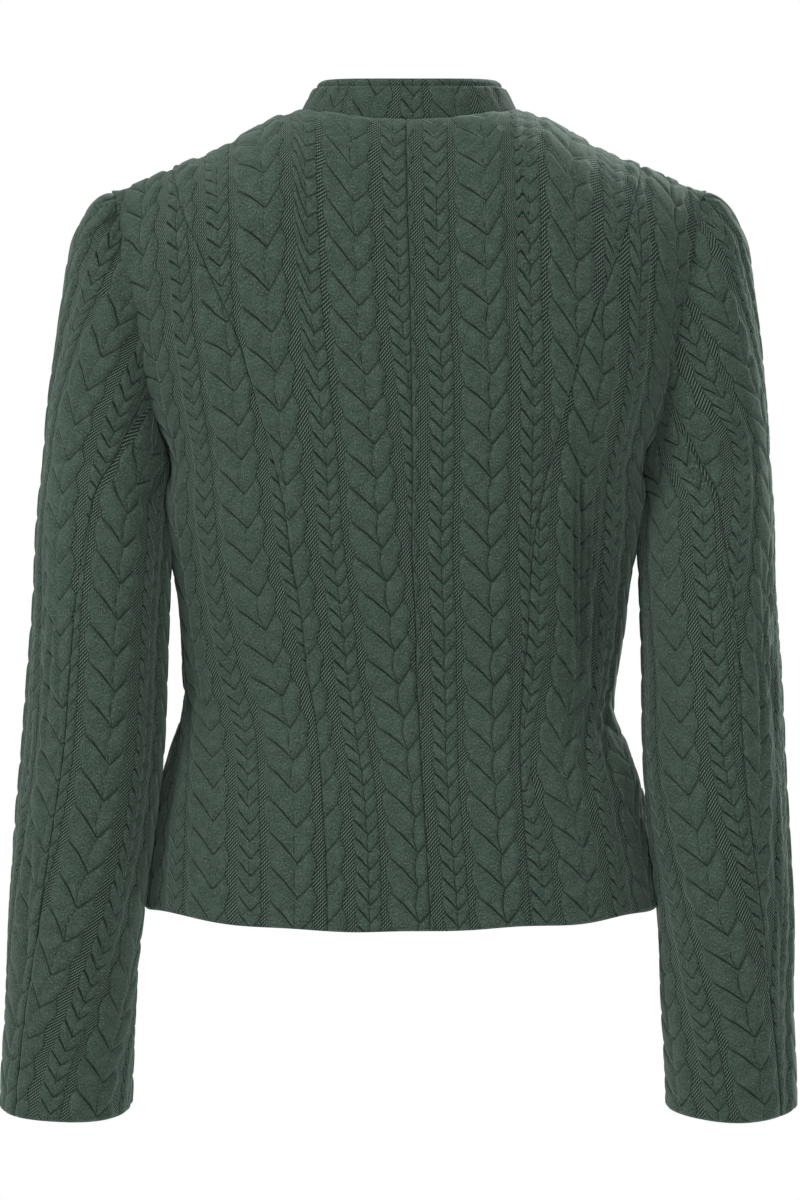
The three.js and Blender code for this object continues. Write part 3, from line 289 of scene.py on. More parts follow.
half_width = curve(TORSO, "z", "half")
torso_depth = curves(TORSO, "z", "back", "front")
rounding = curves(ROUNDING, "x", "back", "front")
shoulder_z = curve(SHOULDER, "x", "z")
armhole_angle = curves(ARMHOLE, "part", "back", "front")
seam_drift = curve(SEAMS, "z", "drift")
seam_back = curve(SEAMS, "z", "back")
seam_front = curve(SEAMS, "z", "front")
sleeve = curves(SLEEVE, "z", "inner", "outer", "middle", "depth")
lean = curves(LEAN, "z", "torso", "sleeve")
tube_seam = {"back": curve(SLEEVE_SEAMS, "row", "hind"), "front": curve(SLEEVE_SEAMS, "row", "fore")}
left_rise = curve(LEFT_GROOVE, "part", "rise")
right_rise = curve(RIGHT_GROOVE, "part", "rise")
valley_away = {name: curve(table("row away", *rows), "row", "away") for name, rows in VALLEYS.items()}


def mix(a, b, t):
    return a + (b - a) * t


def smooth(low, high, value):
    """0 below low, 1 above high, and an S-shaped rise between them."""
    t = np.clip((value - low) / (high - low), 0, 1)
    return t * t * (3 - 2 * t)


def power(value):
    return np.sign(value) * np.abs(value) ** (2 / SECTION_POWER)


def points(x, y, z):
    return np.stack(np.broadcast_arrays(x, y, z), -1)


def summed(steps):
    return np.concatenate([[0], np.cumsum(steps)])


def run_along(line):
    """The distance along each row of a grid of points, from the row's first point."""
    step = np.linalg.norm(np.diff(line, axis=1), axis=2)
    return np.concatenate([np.zeros((len(line), 1)), np.cumsum(step, axis=1)], 1)


def placed(name, data):
    """A new object of the scene."""
    thing = bpy.data.objects.new(name, data)
    bpy.context.collection.objects.link(thing)
    return thing


def section_point(angle, z):
    """A rounded-off oval at height z: half the width times the sine of the angle and the depth times
    its cosine, each raised to a power that squares the oval a little."""
    deep = np.where(np.cos(angle) > 0, torso_depth["back"](z), torso_depth["front"](z))
    return points(half_width(z) * power(np.sin(angle)), deep * power(np.cos(angle)), z)


def top_point(angle):
    """Where the cloth ends at the top: on the oval neck seam, or out along the shoulder seam."""
    x = half_width(0.0) * power(np.sin(angle))
    back = np.cos(angle) > 0
    along = np.sqrt(np.clip(1 - (x / NECK_HALF) ** 2, 0, None))
    fall = along ** np.where(back, NECK_BACK_POWER, NECK_FRONT_POWER)
    neck_z = mix(NECK_SIDE_Z, np.where(back, NECK_BACK_Z, NECK_FRONT_Z), fall)
    on_neck = x < NECK_HALF
    y = np.where(on_neck, along * np.where(back, NECK_BACK, -NECK_FRONT), 0)
    return points(x, y, np.where(on_neck, neck_z, shoulder_z(x)))


def upper_grid():
    """Columns of points above the armpit level: straight up the oval, then over the shoulder on a
    quarter ellipse, and spaced evenly along each column."""
    angle = np.linspace(0, np.pi, AROUND + 1)[:, None]
    top = top_point(angle)
    back = np.cos(angle) > 0
    bend = np.where(back, rounding["back"](top[..., 0]), rounding["front"](top[..., 0]))
    bend = np.minimum(bend, top[..., 2] - ARMPIT_Z - 1)
    rise = mix(ARMPIT_Z, top[..., 2] - bend, np.linspace(0, 1, COLUMN_STEPS + 1))
    turn = np.pi / 2 * np.linspace(0, 1, COLUMN_STEPS + 1)[1:]
    z = top[..., 2] - bend * (1 - np.sin(turn))
    flat = section_point(angle, z)
    over = points(mix(flat[..., 0], top[..., 0], np.sin(turn) ** SHOULDER_PULL),
                  top[..., 1] + (flat[..., 1] - top[..., 1]) * np.cos(turn), z)
    line = np.concatenate([section_point(angle, rise), over], 1)
    run = run_along(line)
    even = np.linspace(0, 1, UP + 1)
    return np.stack([np.stack([np.interp(even * r[-1], r, column[:, k]) for k in range(3)], -1)
                     for r, column in zip(run, line)])


UPPER = upper_grid()


def torso_point(angle, row):
    """A point of the torso at an angle from the centre back (+ to the wearer's left) and a row."""
    angle, row = np.broadcast_arrays(np.asarray(angle, float), np.asarray(row, float))
    turn = np.abs(angle)
    hem = mix(HEM_BACK_Z, HEM_SIDE_Z, np.sin(turn) ** 2)
    low = section_point(turn, mix(hem, ARMPIT_Z, np.clip(row / LOWER_ROWS, 0, 1)))
    across = np.clip(turn * AROUND / np.pi, 0, AROUND)
    up = np.clip((row - LOWER_ROWS) * UP / UPPER_ROWS, 0, UP)
    i = np.minimum(across.astype(int), AROUND - 1)
    j = np.minimum(up.astype(int), UP - 1)
    u = (across - i)[..., None]
    v = (up - j)[..., None]
    high = mix(mix(UPPER[i, j], UPPER[i + 1, j], u), mix(UPPER[i, j + 1], UPPER[i + 1, j + 1], u), v)
    point = np.where((row <= LOWER_ROWS)[..., None], low, high)
    return point * np.stack([np.where(angle < 0, -1, 1), np.ones_like(turn), np.ones_like(turn)], -1)


ANGLES = np.linspace(0, np.pi, AROUND + 1)


def torso_run(row):
    """For each row, the cloth's distance round from the centre back at each of the angles."""
    height = torso_point(ANGLES[None, :], row[:, None])[..., 2]
    flat = section_point(ANGLES[None, :], height)[..., :2]
    return run_along(flat)


def torso_at(distance, row, run):
    """The torso's points at signed distances round it. Past the centre front a distance goes on to
    the other side."""
    whole = run[:, -1:]
    past = np.abs(distance) > whole
    inside = np.where(past, 2 * whole - np.abs(distance), np.abs(distance))
    angle = np.stack([np.interp(d, r, ANGLES) for d, r in zip(inside, run)])
    angle = np.where((distance < 0) == past, angle, -angle)
    return torso_point(angle, row[:, None])


def settled(row, run, start, distance_at):
    """A seam's table is read at the height of the cloth there, so its distance settles in a few turns."""
    distance = start
    for _ in range(SETTLING_TURNS):
        distance = distance_at(torso_at(distance[:, None], row, run)[:, 0, 2])
    return distance


def armhole_turn(branch, row):
    return np.radians(armhole_angle[branch]((row - LOWER_ROWS) / UPPER_ROWS))


def torso_edge(name, side, row, run):
    """Signed distance of one edge of a panel at each row."""
    whole = run[:, -1]
    drift = seam_drift(torso_point(0.0, row)[..., 2])
    if name == "centre_back":
        return drift
    if name == "back_seam":
        return drift + settled(row, run, side * np.full(len(row), seam_back(ARMPIT_Z)),
                               lambda z: side * seam_back(z))
    if name == "front_seam":
        return settled(row, run, side * (whole - seam_front(ARMPIT_Z)),
                       lambda z: side * (whole - seam_front(z)))
    if name == "lap":
        return side * (whole + LAP)
    branch = name.split("_")[1]
    angle = np.where(row > LOWER_ROWS, armhole_turn(branch, row), armhole_turn("back", LOWER_ROWS))
    return side * np.array([np.interp(a, ANGLES, r) for a, r in zip(angle, run)])


def cap_line():
    """The sleeve cap's outline, resampled evenly along its length."""
    chord = summed(np.hypot(np.diff(CAP["x"]), np.diff(CAP["z"])))
    rows = {"t": chord, "x": CAP["x"], "z": CAP["z"]}
    fine = np.linspace(0, chord[-1], 400)
    x = curve(rows, "t", "x")(fine)
    z = curve(rows, "t", "z")(fine)
    run = summed(np.hypot(np.diff(x), np.diff(z)))
    return run / run[-1], x, z


CAP_RUN = cap_line()


def cap_branch(branch, row):
    """How the cap's cloth bends from its outline to the armhole, for rows above the armpit: the
    armhole's point, the depth and width of the oval, and the angle where it meets the armhole."""
    part = np.clip(row / UPPER_ROWS, 0, 1)
    out_x = np.interp(part, CAP_RUN[0], CAP_RUN[1])
    out_z = np.interp(part, CAP_RUN[0], CAP_RUN[2])
    middle = sleeve["middle"](ARMPIT_Z) * (1 - part)
    spot = torso_point(armhole_turn(branch, row + LOWER_ROWS), row + LOWER_ROWS)
    reach = np.abs(spot[..., 1] - middle)
    oval = sleeve["depth"](ARMPIT_Z) * np.sqrt(np.clip(1 - part ** CAP_POWER, 0, None))
    deep = np.maximum(np.maximum(oval, reach * CAP_SPARE), CAP_LEAST)
    end = np.pi - np.arcsin(np.minimum(reach / deep, 1))
    wide = (out_x - spot[..., 0]) / (1 - np.cos(end))
    return {"x": out_x, "z": out_z, "middle": middle, "spot_z": spot[..., 2], "deep": deep, "end": end,
            "wide": wide}


def sleeve_point(angle, row):
    """A point of the sleeve on the wearer's left, at an angle from its outer line (+ to the back).
    Below the armpit it is an oval tube. Above it each row bends from the cap's outline to the armhole."""
    angle, row = np.broadcast_arrays(np.asarray(angle, float), np.asarray(row, float))
    cuff = mix(CUFF_FRONT_Z, CUFF_BACK_Z, (1 + np.sin(angle)) / 2)
    z = mix(ARMPIT_Z, cuff, np.clip(-row / SLEEVE_ROWS, 0, 1))
    wide = (sleeve["outer"](z) - sleeve["inner"](z)) / 2
    tube = points(sleeve["inner"](z) + wide * (1 + np.cos(angle)),
                  sleeve["middle"](z) + sleeve["depth"](z) * np.sin(angle), z)
    lines = {name: cap_branch(name, np.maximum(row, 0)) for name in ("back", "front")}
    pick = {key: np.where(angle >= 0, lines["back"][key], lines["front"][key]) for key in lines["back"]}
    turned = 1 - np.cos(angle)
    rise = np.abs(turned / (1 - np.cos(pick["end"]))) ** CAP_RISE
    cap = points(pick["x"] - pick["wide"] * turned, pick["middle"] + pick["deep"] * np.sin(angle),
                 mix(pick["z"], pick["spot_z"], rise))
    return np.where((row <= 0)[..., None], tube, cap)


ROUND_TURN = np.linspace(-np.pi, 2 * np.pi, 1081)


def wrapped(angle):
    return np.where(angle > np.pi, angle - 2 * np.pi, angle)


def sleeve_run(row):
    """For each row, the distance round the sleeve from its outer line at each of the turns."""
    line = sleeve_point(wrapped(ROUND_TURN)[None, :], np.minimum(row, 0)[:, None])
    run = run_along(line)
    outer = len(ROUND_TURN) // 3
    return run - run[:, outer:outer + 1]


def cap_end(branch, row):
    high = np.clip(row, 0, UPPER_ROWS - SHORT_OF_SHOULDER)
    return np.where(row <= 0, np.pi, cap_branch(branch, high)["end"])


def meeting_end(branch):
    return cap_end(branch, np.array(float(MEETING_ROW)))


def sleeve_seam(branch, row):
    """The angle of a sleeve seam: along the tube, then straight to where it meets the armhole."""
    tube = np.radians(tube_seam[branch](np.minimum(row, UNDERARM_ROW)))
    rise = np.clip((row - UNDERARM_ROW) / (MEETING_ROW - UNDERARM_ROW), 0, 1)
    return mix(tube, meeting_end(branch), rise)


def sleeve_edge(branch, row):
    return np.where(row >= MEETING_ROW, cap_end(branch, row), sleeve_seam(branch, row))


def meeting_row(angle):
    """The row at which the armhole's edge of the cap lies at a given angle."""
    rows = np.linspace(0, MEETING_ROW, 200)
    found = [np.interp(-goal, -cap_end(branch, rows), rows)
             for branch, goal in (("back", angle), ("front", 2 * np.pi - angle))]
    return np.where(angle < np.pi, found[0], found[1])


def cable(u, v):
    """The pattern at u across and v up the cloth, in millimetres. Each braid has a valley in its
    middle. From the valley a groove rises to each side on its own S-shaped curve, once a pitch.
    A lobe's height is a rounded step of its distance from the nearest groove and from the braid's
    scalloped edge. Gives the height, and for the finish the phase from groove to groove, the
    distances inside the braid and from its middle, the pitch and the strength of the painted shade in the
    groove, weaker on the braid's right-hand side."""
    out = {name: np.zeros_like(u) for name in ("height", "phase", "pitch", "groove_shade_strength", "middle")}
    out["inside"] = np.full_like(u, OUTSIDE)
    for braid in BRAIDS:
        span = REPEAT / 2
        a = np.mod(u - braid["centre"] + span, REPEAT) - span
        a = a + braid["sway"] * np.sin(np.pi * np.mod(v / braid["pitch"], 1))
        left = a < 0
        part = np.clip(np.where(left, -a / braid["left"], a / braid["right"]), 0, 1)
        phase = v / braid["pitch"] - np.where(left, left_rise(part), braid["lift"] * right_rise(part))
        share = phase - np.floor(phase)
        wave = braid["bulge"] * np.sin(np.pi * share)
        inside = np.where(left, braid["left"] + a, braid["right"] - a) + wave - braid["bulge"] * EDGE_SHARE
        groove = np.minimum(share, 1 - share) * braid["pitch"] * GROOVE_SLANT
        groove = groove + np.where(left, *GROOVE_FADE) * part ** 2
        middle = np.abs(a)
        valley = VALLEY_SLOPE * middle + VALLEY_FLOOR * braid["soft"]
        near = np.minimum(np.minimum(groove + GROOVE_FLOOR, inside), valley)
        dome = 1 - (1 - np.clip(near / braid["soft"], 0, 1)) ** 2
        here = inside > out["inside"]
        found = {"height": braid["height"] * dome, "phase": phase, "pitch": braid["pitch"],
                 "groove_shade_strength": np.where(left, 1.0, RIGHT_GROOVE_SHADE), "middle": middle, "inside": inside}
        out = {key: np.where(here, found[key], value) for key, value in out.items()}
    return out


# Creases, soft troughs (negative) and ridges, seen from behind: x, z, to x, to z, width and depth
CREASES = {
    "torso": (
        (-113, -222, -115, -384, 1.7, -2.4), (-118, -236, -119, -300, 1.5, -2.6),
        (-119, -296, -118, -392, 1.6, -2.4), (-123, -262, -122, -372, 1.6, -2.2),
        (-127, -245, -128, -330, 1.7, -2), (-129, -320, -127, -392, 1.7, -2),
        (-133, -270, -131, -372, 1.9, -1.8), (-137, -300, -134, -368, 2, -1.5),
        (-108, -262, -110, -392, 1.9, -1.5), (-103, -300, -106, -380, 2.2, -1),
        (-115, -225, -118, -330, 4, -1), (-126, -240, -126, -370, 11, -1.4),
        (-118, -395, -106, -430, 2.4, -1.8), (-124, -398, -119, -440, 2.2, -1.5),
        (-130, -392, -143, -436, 2, -1.7), (-136, -390, -152, -440, 1.9, -1.5),
        (-143, -398, -160, -442, 2, -1.4), (-126, -402, -142, -452, 2.6, -1.6),
        (-133, -430, -146, -490, 3, -1.5), (-120, -440, -131, -500, 3, -1.2),
        (-150, -448, -152, -520, 4, -1.2), (-112, -452, -124, -486, 3, -1.2),
        (-140, -470, -147, -530, 3, -1), (143, -372, 138, -420, 3, -1.2), (146, -355, 152, -430, 3, -1.3),
        (136, -350, 141, -395, 4, -1), (150, -425, 158, -470, 4, -1.3), (130, -430, 133, -500, 9, -1),
        (166, -205, 157, -240, 4, -2.3), (156, -200, 150, -250, 6, -1.8), (147, -235, 143, -300, 6, -1.2),
        (-171, -212, -160, -245, 4, -2), (-160, -196, -152, -246, 6, -1.3),
        (128, -245, 130, -292, 6, -1.2), (160, -226, 156, -300, 16, 2.6),
        (-160, -226, -156, -300, 16, 2.6), (-148, -404, -163, -462, 20, 6),
        (90, -430, 104, -520, 12, 0.9), (-70, -440, -84, -522, 12, 0.9), (30, -455, 26, -525, 12, 0.8)),
    "sleeve": (
        (246, -262, 252, -380, 2, -1.6), (243, -310, 249, -420, 1.8, -1.6),
        (238, -290, 243, -400, 1.8, -1.4), (250, -400, 254, -500, 2, -1.4),
        (234, -330, 238, -430, 2, -1.2), (247, -480, 252, -590, 2, -1.3), (240, -290, 246, -420, 4, -1),
        (233, -300, 240, -470, 4, -1.2), (227, -330, 232, -450, 3.4, -1), (247, -430, 251, -560, 4, -1),
        (238, -460, 243, -590, 5, -1.1), (228, -440, 233, -540, 4, -0.8), (206, -250, 196, -300, 8, -1.2),
        (172, -232, 168, -300, 5, -1.2), (190, -235, 178, -262, 5, -1), (222, -455, 204, -486, 9, -1),
        (214, -520, 198, -560, 9, -0.9), (166, -340, 170, -440, 4, -1.2), (252, -560, 257, -650, 5, -1),
        (178, -500, 186, -585, 8, -0.8), (226, -150, 214, -205, 10, -0.9),
        (161, -226, 159, -300, 14, 2.2)),
}
FRONT_DROP = 14.0
CREASE_SWAY = 0.35
CREASE_WAVES = 5
CREASE_START = (-0.3, 0.4)
CREASE_END = (0.65, 1.3)


def creased(point, rows, flip):
    """Depth of the creases at each point: a bell curve of the distance from each crease's line, which
    fades out at both ends. On the front they lie a little lower."""
    x = point[..., 0] * flip
    z = point[..., 2] + np.where(point[..., 1] < 0, FRONT_DROP, 0.0)
    total = np.zeros_like(x)
    for k, (from_x, from_z, to_x, to_z, wide, deep) in enumerate(rows):
        run_x = to_x - from_x
        run_z = to_z - from_z
        long = run_x ** 2 + run_z ** 2
        t = ((x - from_x) * run_x + (z - from_z) * run_z) / long
        away = ((x - from_x) * run_z - (z - from_z) * run_x) / np.sqrt(long)
        away = away + wide * CREASE_SWAY * np.sin(t * CREASE_WAVES + k)
        fade = smooth(*CREASE_START, t) * (1 - smooth(*CREASE_END, t))
        total += deep * fade * np.exp(-(away / wide) ** 2)
    return total


def normals(point, outward):
    """Normals of a grid of points, from its own rows and columns, turned outwards."""
    across = np.gradient(point, axis=1)
    up = np.gradient(point, axis=0)
    n = np.cross(up, across)
    size = np.linalg.norm(n, axis=2, keepdims=True)
    return outward * n / np.maximum(size, 1e-9)


def cells(a, b, c, d):
    return np.stack([a, b, c, d], -1).reshape(-1, 4)


def shell(name, outer, inner_base, fields, turned):
    """A closed shell: the outer grid, a coarser inner grid a wall below it, and a rim between them.
    Each coarse edge of the rim is joined to the fine points beside it by a fan."""
    n, m = outer.shape[:2]
    k = INNER_EVERY
    inner = inner_base[::k, ::k]
    p, q = inner.shape[:2]
    fine = np.arange(n * m).reshape(n, m)
    coarse = n * m + np.arange(p * q).reshape(p, q)
    quads = [cells(fine[:-1, :-1], fine[:-1, 1:], fine[1:, 1:], fine[1:, :-1]),
             cells(coarse[:-1, :-1], coarse[1:, :-1], coarse[1:, 1:], coarse[:-1, 1:])]
    triangles = []
    sides = ((fine[0], coarse[0], 1), (fine[-1], coarse[-1], -1),
             (fine[:, 0], coarse[:, 0], -1), (fine[:, -1], coarse[:, -1], 1))
    for near, far, way in sides:
        steps = near[:-1].reshape(-1, k)
        nexts = near[1:].reshape(-1, k)
        first = np.repeat(far[:-1, None], k, 1)
        second = np.repeat(far[1:, None], k, 1)
        pivot = np.where(np.arange(k)[None, :] < k // 2, first, second)
        fan = np.stack([nexts, steps, pivot], -1).reshape(-1, 3)
        bridge = np.stack([steps[:, k // 2], far[:-1], far[1:]], -1)
        joined = np.concatenate([fan, bridge])
        triangles.append(joined if way > 0 else joined[:, ::-1])
    triangles = np.concatenate(triangles)
    quads = np.concatenate(quads)
    if not turned:
        quads = quads[:, ::-1]
        triangles = triangles[:, ::-1]
    place = np.concatenate([outer.reshape(-1, 3), inner.reshape(-1, 3)]) * MM
    corners = np.concatenate([quads.ravel(), triangles.ravel()])
    starts = np.concatenate([np.arange(len(quads)) * 4, 4 * len(quads) + np.arange(len(triangles)) * 3])
    mesh = bpy.data.meshes.new(name)
    mesh.vertices.add(len(place))
    mesh.vertices.foreach_set("co", place.ravel())
    mesh.loops.add(len(corners))
    mesh.loops.foreach_set("vertex_index", corners.astype(np.int32))
    mesh.polygons.add(len(starts))
    mesh.polygons.foreach_set("loop_start", starts.astype(np.int32))
    mesh.polygons.foreach_set("use_smooth", np.ones(len(starts), bool))
    mesh.update(calc_edges=True)
    whole = {key: np.concatenate([value.ravel(), value[::k, ::k].ravel()]) for key, value in fields.items()}
    uv = mesh.uv_layers.new(name="cloth")
    flat = np.stack([whole["u"][corners], whole["v"][corners]], -1) * MM
    uv.data.foreach_set("uv", flat.astype(np.float32).ravel())
    # The cable marks: the phase, the distance inside the braid, and the strength of the painted shade in its
    # groove
    cable_marks = mesh.attributes.new("cable", "FLOAT_VECTOR", "POINT")
    outside = np.arange(len(place)) < n * m
    marks = np.stack([whole["phase"], np.where(outside, whole["inside"], OUTSIDE), whole["groove_shade_strength"]], -1)
    cable_marks.data.foreach_set("vector", marks.astype(np.float32).ravel())
    for key in ("pitch", "seam", "middle", "fold_shade"):
        layer = mesh.attributes.new(key, "FLOAT", "POINT")
        layer.data.foreach_set("value", whole[key].astype(np.float32))
    mesh.validate()
    return placed(name, mesh)


def grid_size(length, spacing):
    """A number of points that the coarse inner grid divides evenly."""
    return int(np.ceil(length / spacing / INNER_EVERY)) * INNER_EVERY + 1


def cloth_piece(name, base, outward, turned, marks, edges, free, sink, creases, raised, material):
    """One cut piece of cloth. base is its plain grid, edges its distances from the four edges and
    free those edges that are hems. The cables fade beside a seam, which lies in a shallow groove,
    and a free edge rolls in. The hems waver a little up and down, and raised lifts the cloth beside
    the armhole."""
    around = np.arctan2(base[..., 1], np.abs(base[..., 0]) - WAVER_CENTRE)
    waver = np.sin(WAVES_ROUND * around + base[..., 0] / WAVE_LONG)
    waver = waver + SHORT_SHARE * np.sin(base[..., 0] / WAVE_SHORT + 2)
    base[..., 2] += HEM_WAVER * waver * (1 - smooth(0, WAVER_REACH, edges["hem"]))
    normal = normals(base, outward)
    seam = np.minimum.reduce([value for key, value in edges.items() if key not in (*free, "neck")])
    hem = np.minimum.reduce([edges[key] for key in free])
    relief = marks["height"] * mix(SEAM_RELIEF, 1.0, smooth(0.0, SEAM_FLAT, seam)) * smooth(*EDGE_FADE, hem)
    relief = relief * mix(NECK_RELIEF, 1.0, smooth(0.0, NECK_FLAT, edges["neck"]))
    groove = SEAM_DEPTH * np.exp(-(seam / SEAM_WIDTH) ** 2)
    roll = EDGE_DROP * (1 - smooth(0, EDGE_ROLL, hem))
    folds = creases * smooth(0, FOLD_FADE, seam) + raised
    outer = base + normal * (relief - groove - roll - sink + folds)[..., None]
    inner = base + normal * (np.minimum(folds, 0) - WALL - sink)[..., None]
    # The last field is the share of painted shade in each fold's trough, darker the deeper the fold
    fields = {**marks, "seam": seam, "fold_shade": np.broadcast_to(smooth(*FOLD_SHADE, -creases), seam.shape)}
    piece = shell(name, outer, inner, fields, turned)
    piece.data.materials.append(material)
    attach(piece, "root")
    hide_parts(name)


def pattern(base, distance, name, row, valley, way, pitch):
    """Cloth coordinates about a wide cable's valley that leans: u is the distance across it and v
    the length along it, both turned with the lean, which dies away with the distance from the valley.
    way is +1 where distance grows to the right. The cables of the fronts stand upright."""
    inside = np.clip(valley, distance.min(1), distance.max(1))
    line = np.array([[np.interp(at, d, p[:, k]) for k in range(3)]
                     for at, d, p in zip(inside, distance, base)])
    step = np.linalg.norm(np.diff(line, axis=0), axis=1)
    straight = np.sqrt(np.maximum(step ** 2 - np.diff(inside) ** 2, (0.5 * step) ** 2))
    length = summed(straight)
    slope = np.zeros_like(length) if name in ("front", "side_front") else np.gradient(valley, length)
    stretch = np.sqrt(1 + slope ** 2)
    along = summed(0.5 * (stretch[1:] + stretch[:-1]) * straight)
    along = along - np.interp(MEETINGS[name], row, along)
    away = distance - valley[:, None]
    u = way * away / stretch[:, None]
    near = LEAN_REACH * np.tanh(away / LEAN_REACH)
    v = (along[:, None] + near * (slope / stretch)[:, None]) * PITCH / pitch
    return {"u": u, "v": v, **cable(u, v)}


PANELS = {
    "back": ("centre_back", "back_seam", "back"),
    "side_back": ("back_seam", "side_back", "back"),
    "side_front": ("side_front", "front_seam", "front"),
    "front": ("front_seam", "lap", "front"),
}


def edge_distances(distance, left, right, row, low, high):
    """Distances from a piece's two sides, from its hem at row low and from its top at row high."""
    rows = {"top": (high - row) * ROW, "hem": (row - low) * ROW}
    up = {key: np.broadcast_to(value[:, None], distance.shape) for key, value in rows.items()}
    return {"left": distance - left[:, None], "right": right[:, None] - distance, "neck": up["top"],
            **up}


def armhole_lift(ease, beside):
    """The lift of the cloth beside the armhole. ease is its share in each row."""
    return ARMHOLE_FILL * (ease[:, None] * (1 - smooth(0, ARMHOLE_REACH, beside)))


def torso_panel(kind, side, word, material):
    """One of the eight panels of the torso, between two of its edges and from hem to shoulder."""
    near, far, branch = PANELS[kind]
    spacing = SPACING[kind]
    count = grid_size(TOP_ROW * ROW, spacing)
    row = np.linspace(0, TOP_ROW, count)
    run = torso_run(row)
    first = torso_edge(near, side, row, run)
    second = torso_edge(far, side, row, run)
    left = np.minimum(first, second) + SEAM_GAP / 2
    right = np.maximum(first, second) - SEAM_GAP / 2
    across = np.linspace(0, 1, grid_size(np.mean(right - left), spacing))[None, :]
    distance = mix(left[:, None], right[:, None], across)
    base = torso_at(distance, row, run)
    edges = edge_distances(distance, left, right, row, 0, TOP_ROW)
    if kind in ("side_back", "side_front"):
        beside = edges["right" if (side > 0) == (kind == "side_back") else "left"]
        raised = armhole_lift(smooth(LOWER_ROWS + 1, LOWER_ROWS + 7, row), beside)
    else:
        raised = 0.0
    free = ["hem"]
    sink = np.zeros_like(distance)
    if kind == "front":
        free.append("right" if side > 0 else "left")
        if side > 0:
            away = run[:, -1:] - distance - LAP - LAP_CLEAR
            sink = LAP_DEPTH * (1 - smooth(0, LAP_SLOPE, away))
    name = kind if branch == "front" else f"{kind}_{word}"
    start = {"back": first, "side_back": first, "side_front": second, "front": side * run[:, -1]}[kind]
    way = 1 if branch == "back" else -1
    valley = start + side * way * valley_away[name](row)
    marks = pattern(base, distance, name, row, valley, -1, TORSO_PITCH)
    base[..., 0] += lean["torso"](base[..., 2])
    creases = creased(base, CREASES["torso"], 1)
    cloth_piece(f"{kind}_{word}", base, 1, True, marks, edges, free, sink, creases, raised, material)


def sleeve_base(part, row, run):
    """Grid of a sleeve piece's points, with its distances round the sleeve and its two edges."""
    if part == "top":
        turns = (-sleeve_edge("front", row), sleeve_edge("back", row))
    else:
        low = np.minimum(row, UNDERARM_ROW)
        turns = (sleeve_seam("back", low), 2 * np.pi - sleeve_seam("front", low))
    edge = [np.array([np.interp(t, ROUND_TURN, r) for t, r in zip(turn, run)]) for turn in turns]
    left = edge[0] + SEAM_GAP / 2
    right = edge[1] - SEAM_GAP / 2
    across = np.linspace(0, 1, grid_size(np.mean(right - left), SPACING["sleeve"]))[None, :]
    distance = mix(left[:, None], right[:, None], across)
    angle = np.stack([np.interp(d, r, ROUND_TURN) for d, r in zip(distance, run)])
    if part == "top":
        return sleeve_point(angle, row[:, None]), distance, left, right
    rise = np.clip((row[:, None] - UNDERARM_ROW) / UNDERARM_ROWS, 0, 1)
    top = mix(meeting_end("back"), 2 * np.pi - meeting_end("front"), across)
    bent = mix(angle, top, rise)
    level = np.where(rise > 0, mix(UNDERARM_ROW, meeting_row(top), rise), row[:, None])
    return sleeve_point(wrapped(bent), level), distance, left, right


def sleeve_distance(part, base, distance, row):
    """Where the sleeve bends into the armhole, its distances are lengths summed along each row of the
    grid: the top piece's from its outer line, the under piece's from its middle."""
    span = run_along(base)
    if part == "top":
        zero = np.array([np.interp(0, d, s) for d, s in zip(distance, span)])
        return np.where((row > 0)[:, None], span - zero[:, None], distance)
    middle = (distance[:, :1] + distance[:, -1:]) / 2
    return np.where((row > UNDERARM_ROW)[:, None], middle + span - span[:, -1:] / 2, distance)


def sleeve_piece(part, side, word, material):
    """The top or the under piece of a sleeve, from the cuff to the armhole."""
    last = LAST_ROW[part]
    count = grid_size((last + SLEEVE_ROWS) * ROW, SPACING["sleeve"])
    row = np.linspace(-SLEEVE_ROWS, last, count)
    run = sleeve_run(row)
    base, distance, left, right = sleeve_base(part, row, run)
    edges = edge_distances(distance, left, right, row, -SLEEVE_ROWS, last)
    beside = np.minimum(edges["left"], edges["right"])
    ease = smooth(MEETING_ROW - 1, MEETING_ROW + 5, row) * (1 - smooth(last - TIP_ROWS, last - 1, row))
    raised = armhole_lift(ease, beside)
    distance = sleeve_distance(part, base, distance, row)
    name = f"{part}_{word}"
    valley = valley_away[name](row)
    marks = pattern(base, distance, name, row, valley, side, SLEEVE_PITCH)
    base[..., 0] = side * base[..., 0] + lean["sleeve"](base[..., 2])
    creases = creased(base, CREASES["sleeve"], side)
    cloth_piece(f"{part}_sleeve_{word}", base, -side, side < 0, marks, edges, ["hem"],
                np.zeros_like(distance), creases, raised, material)


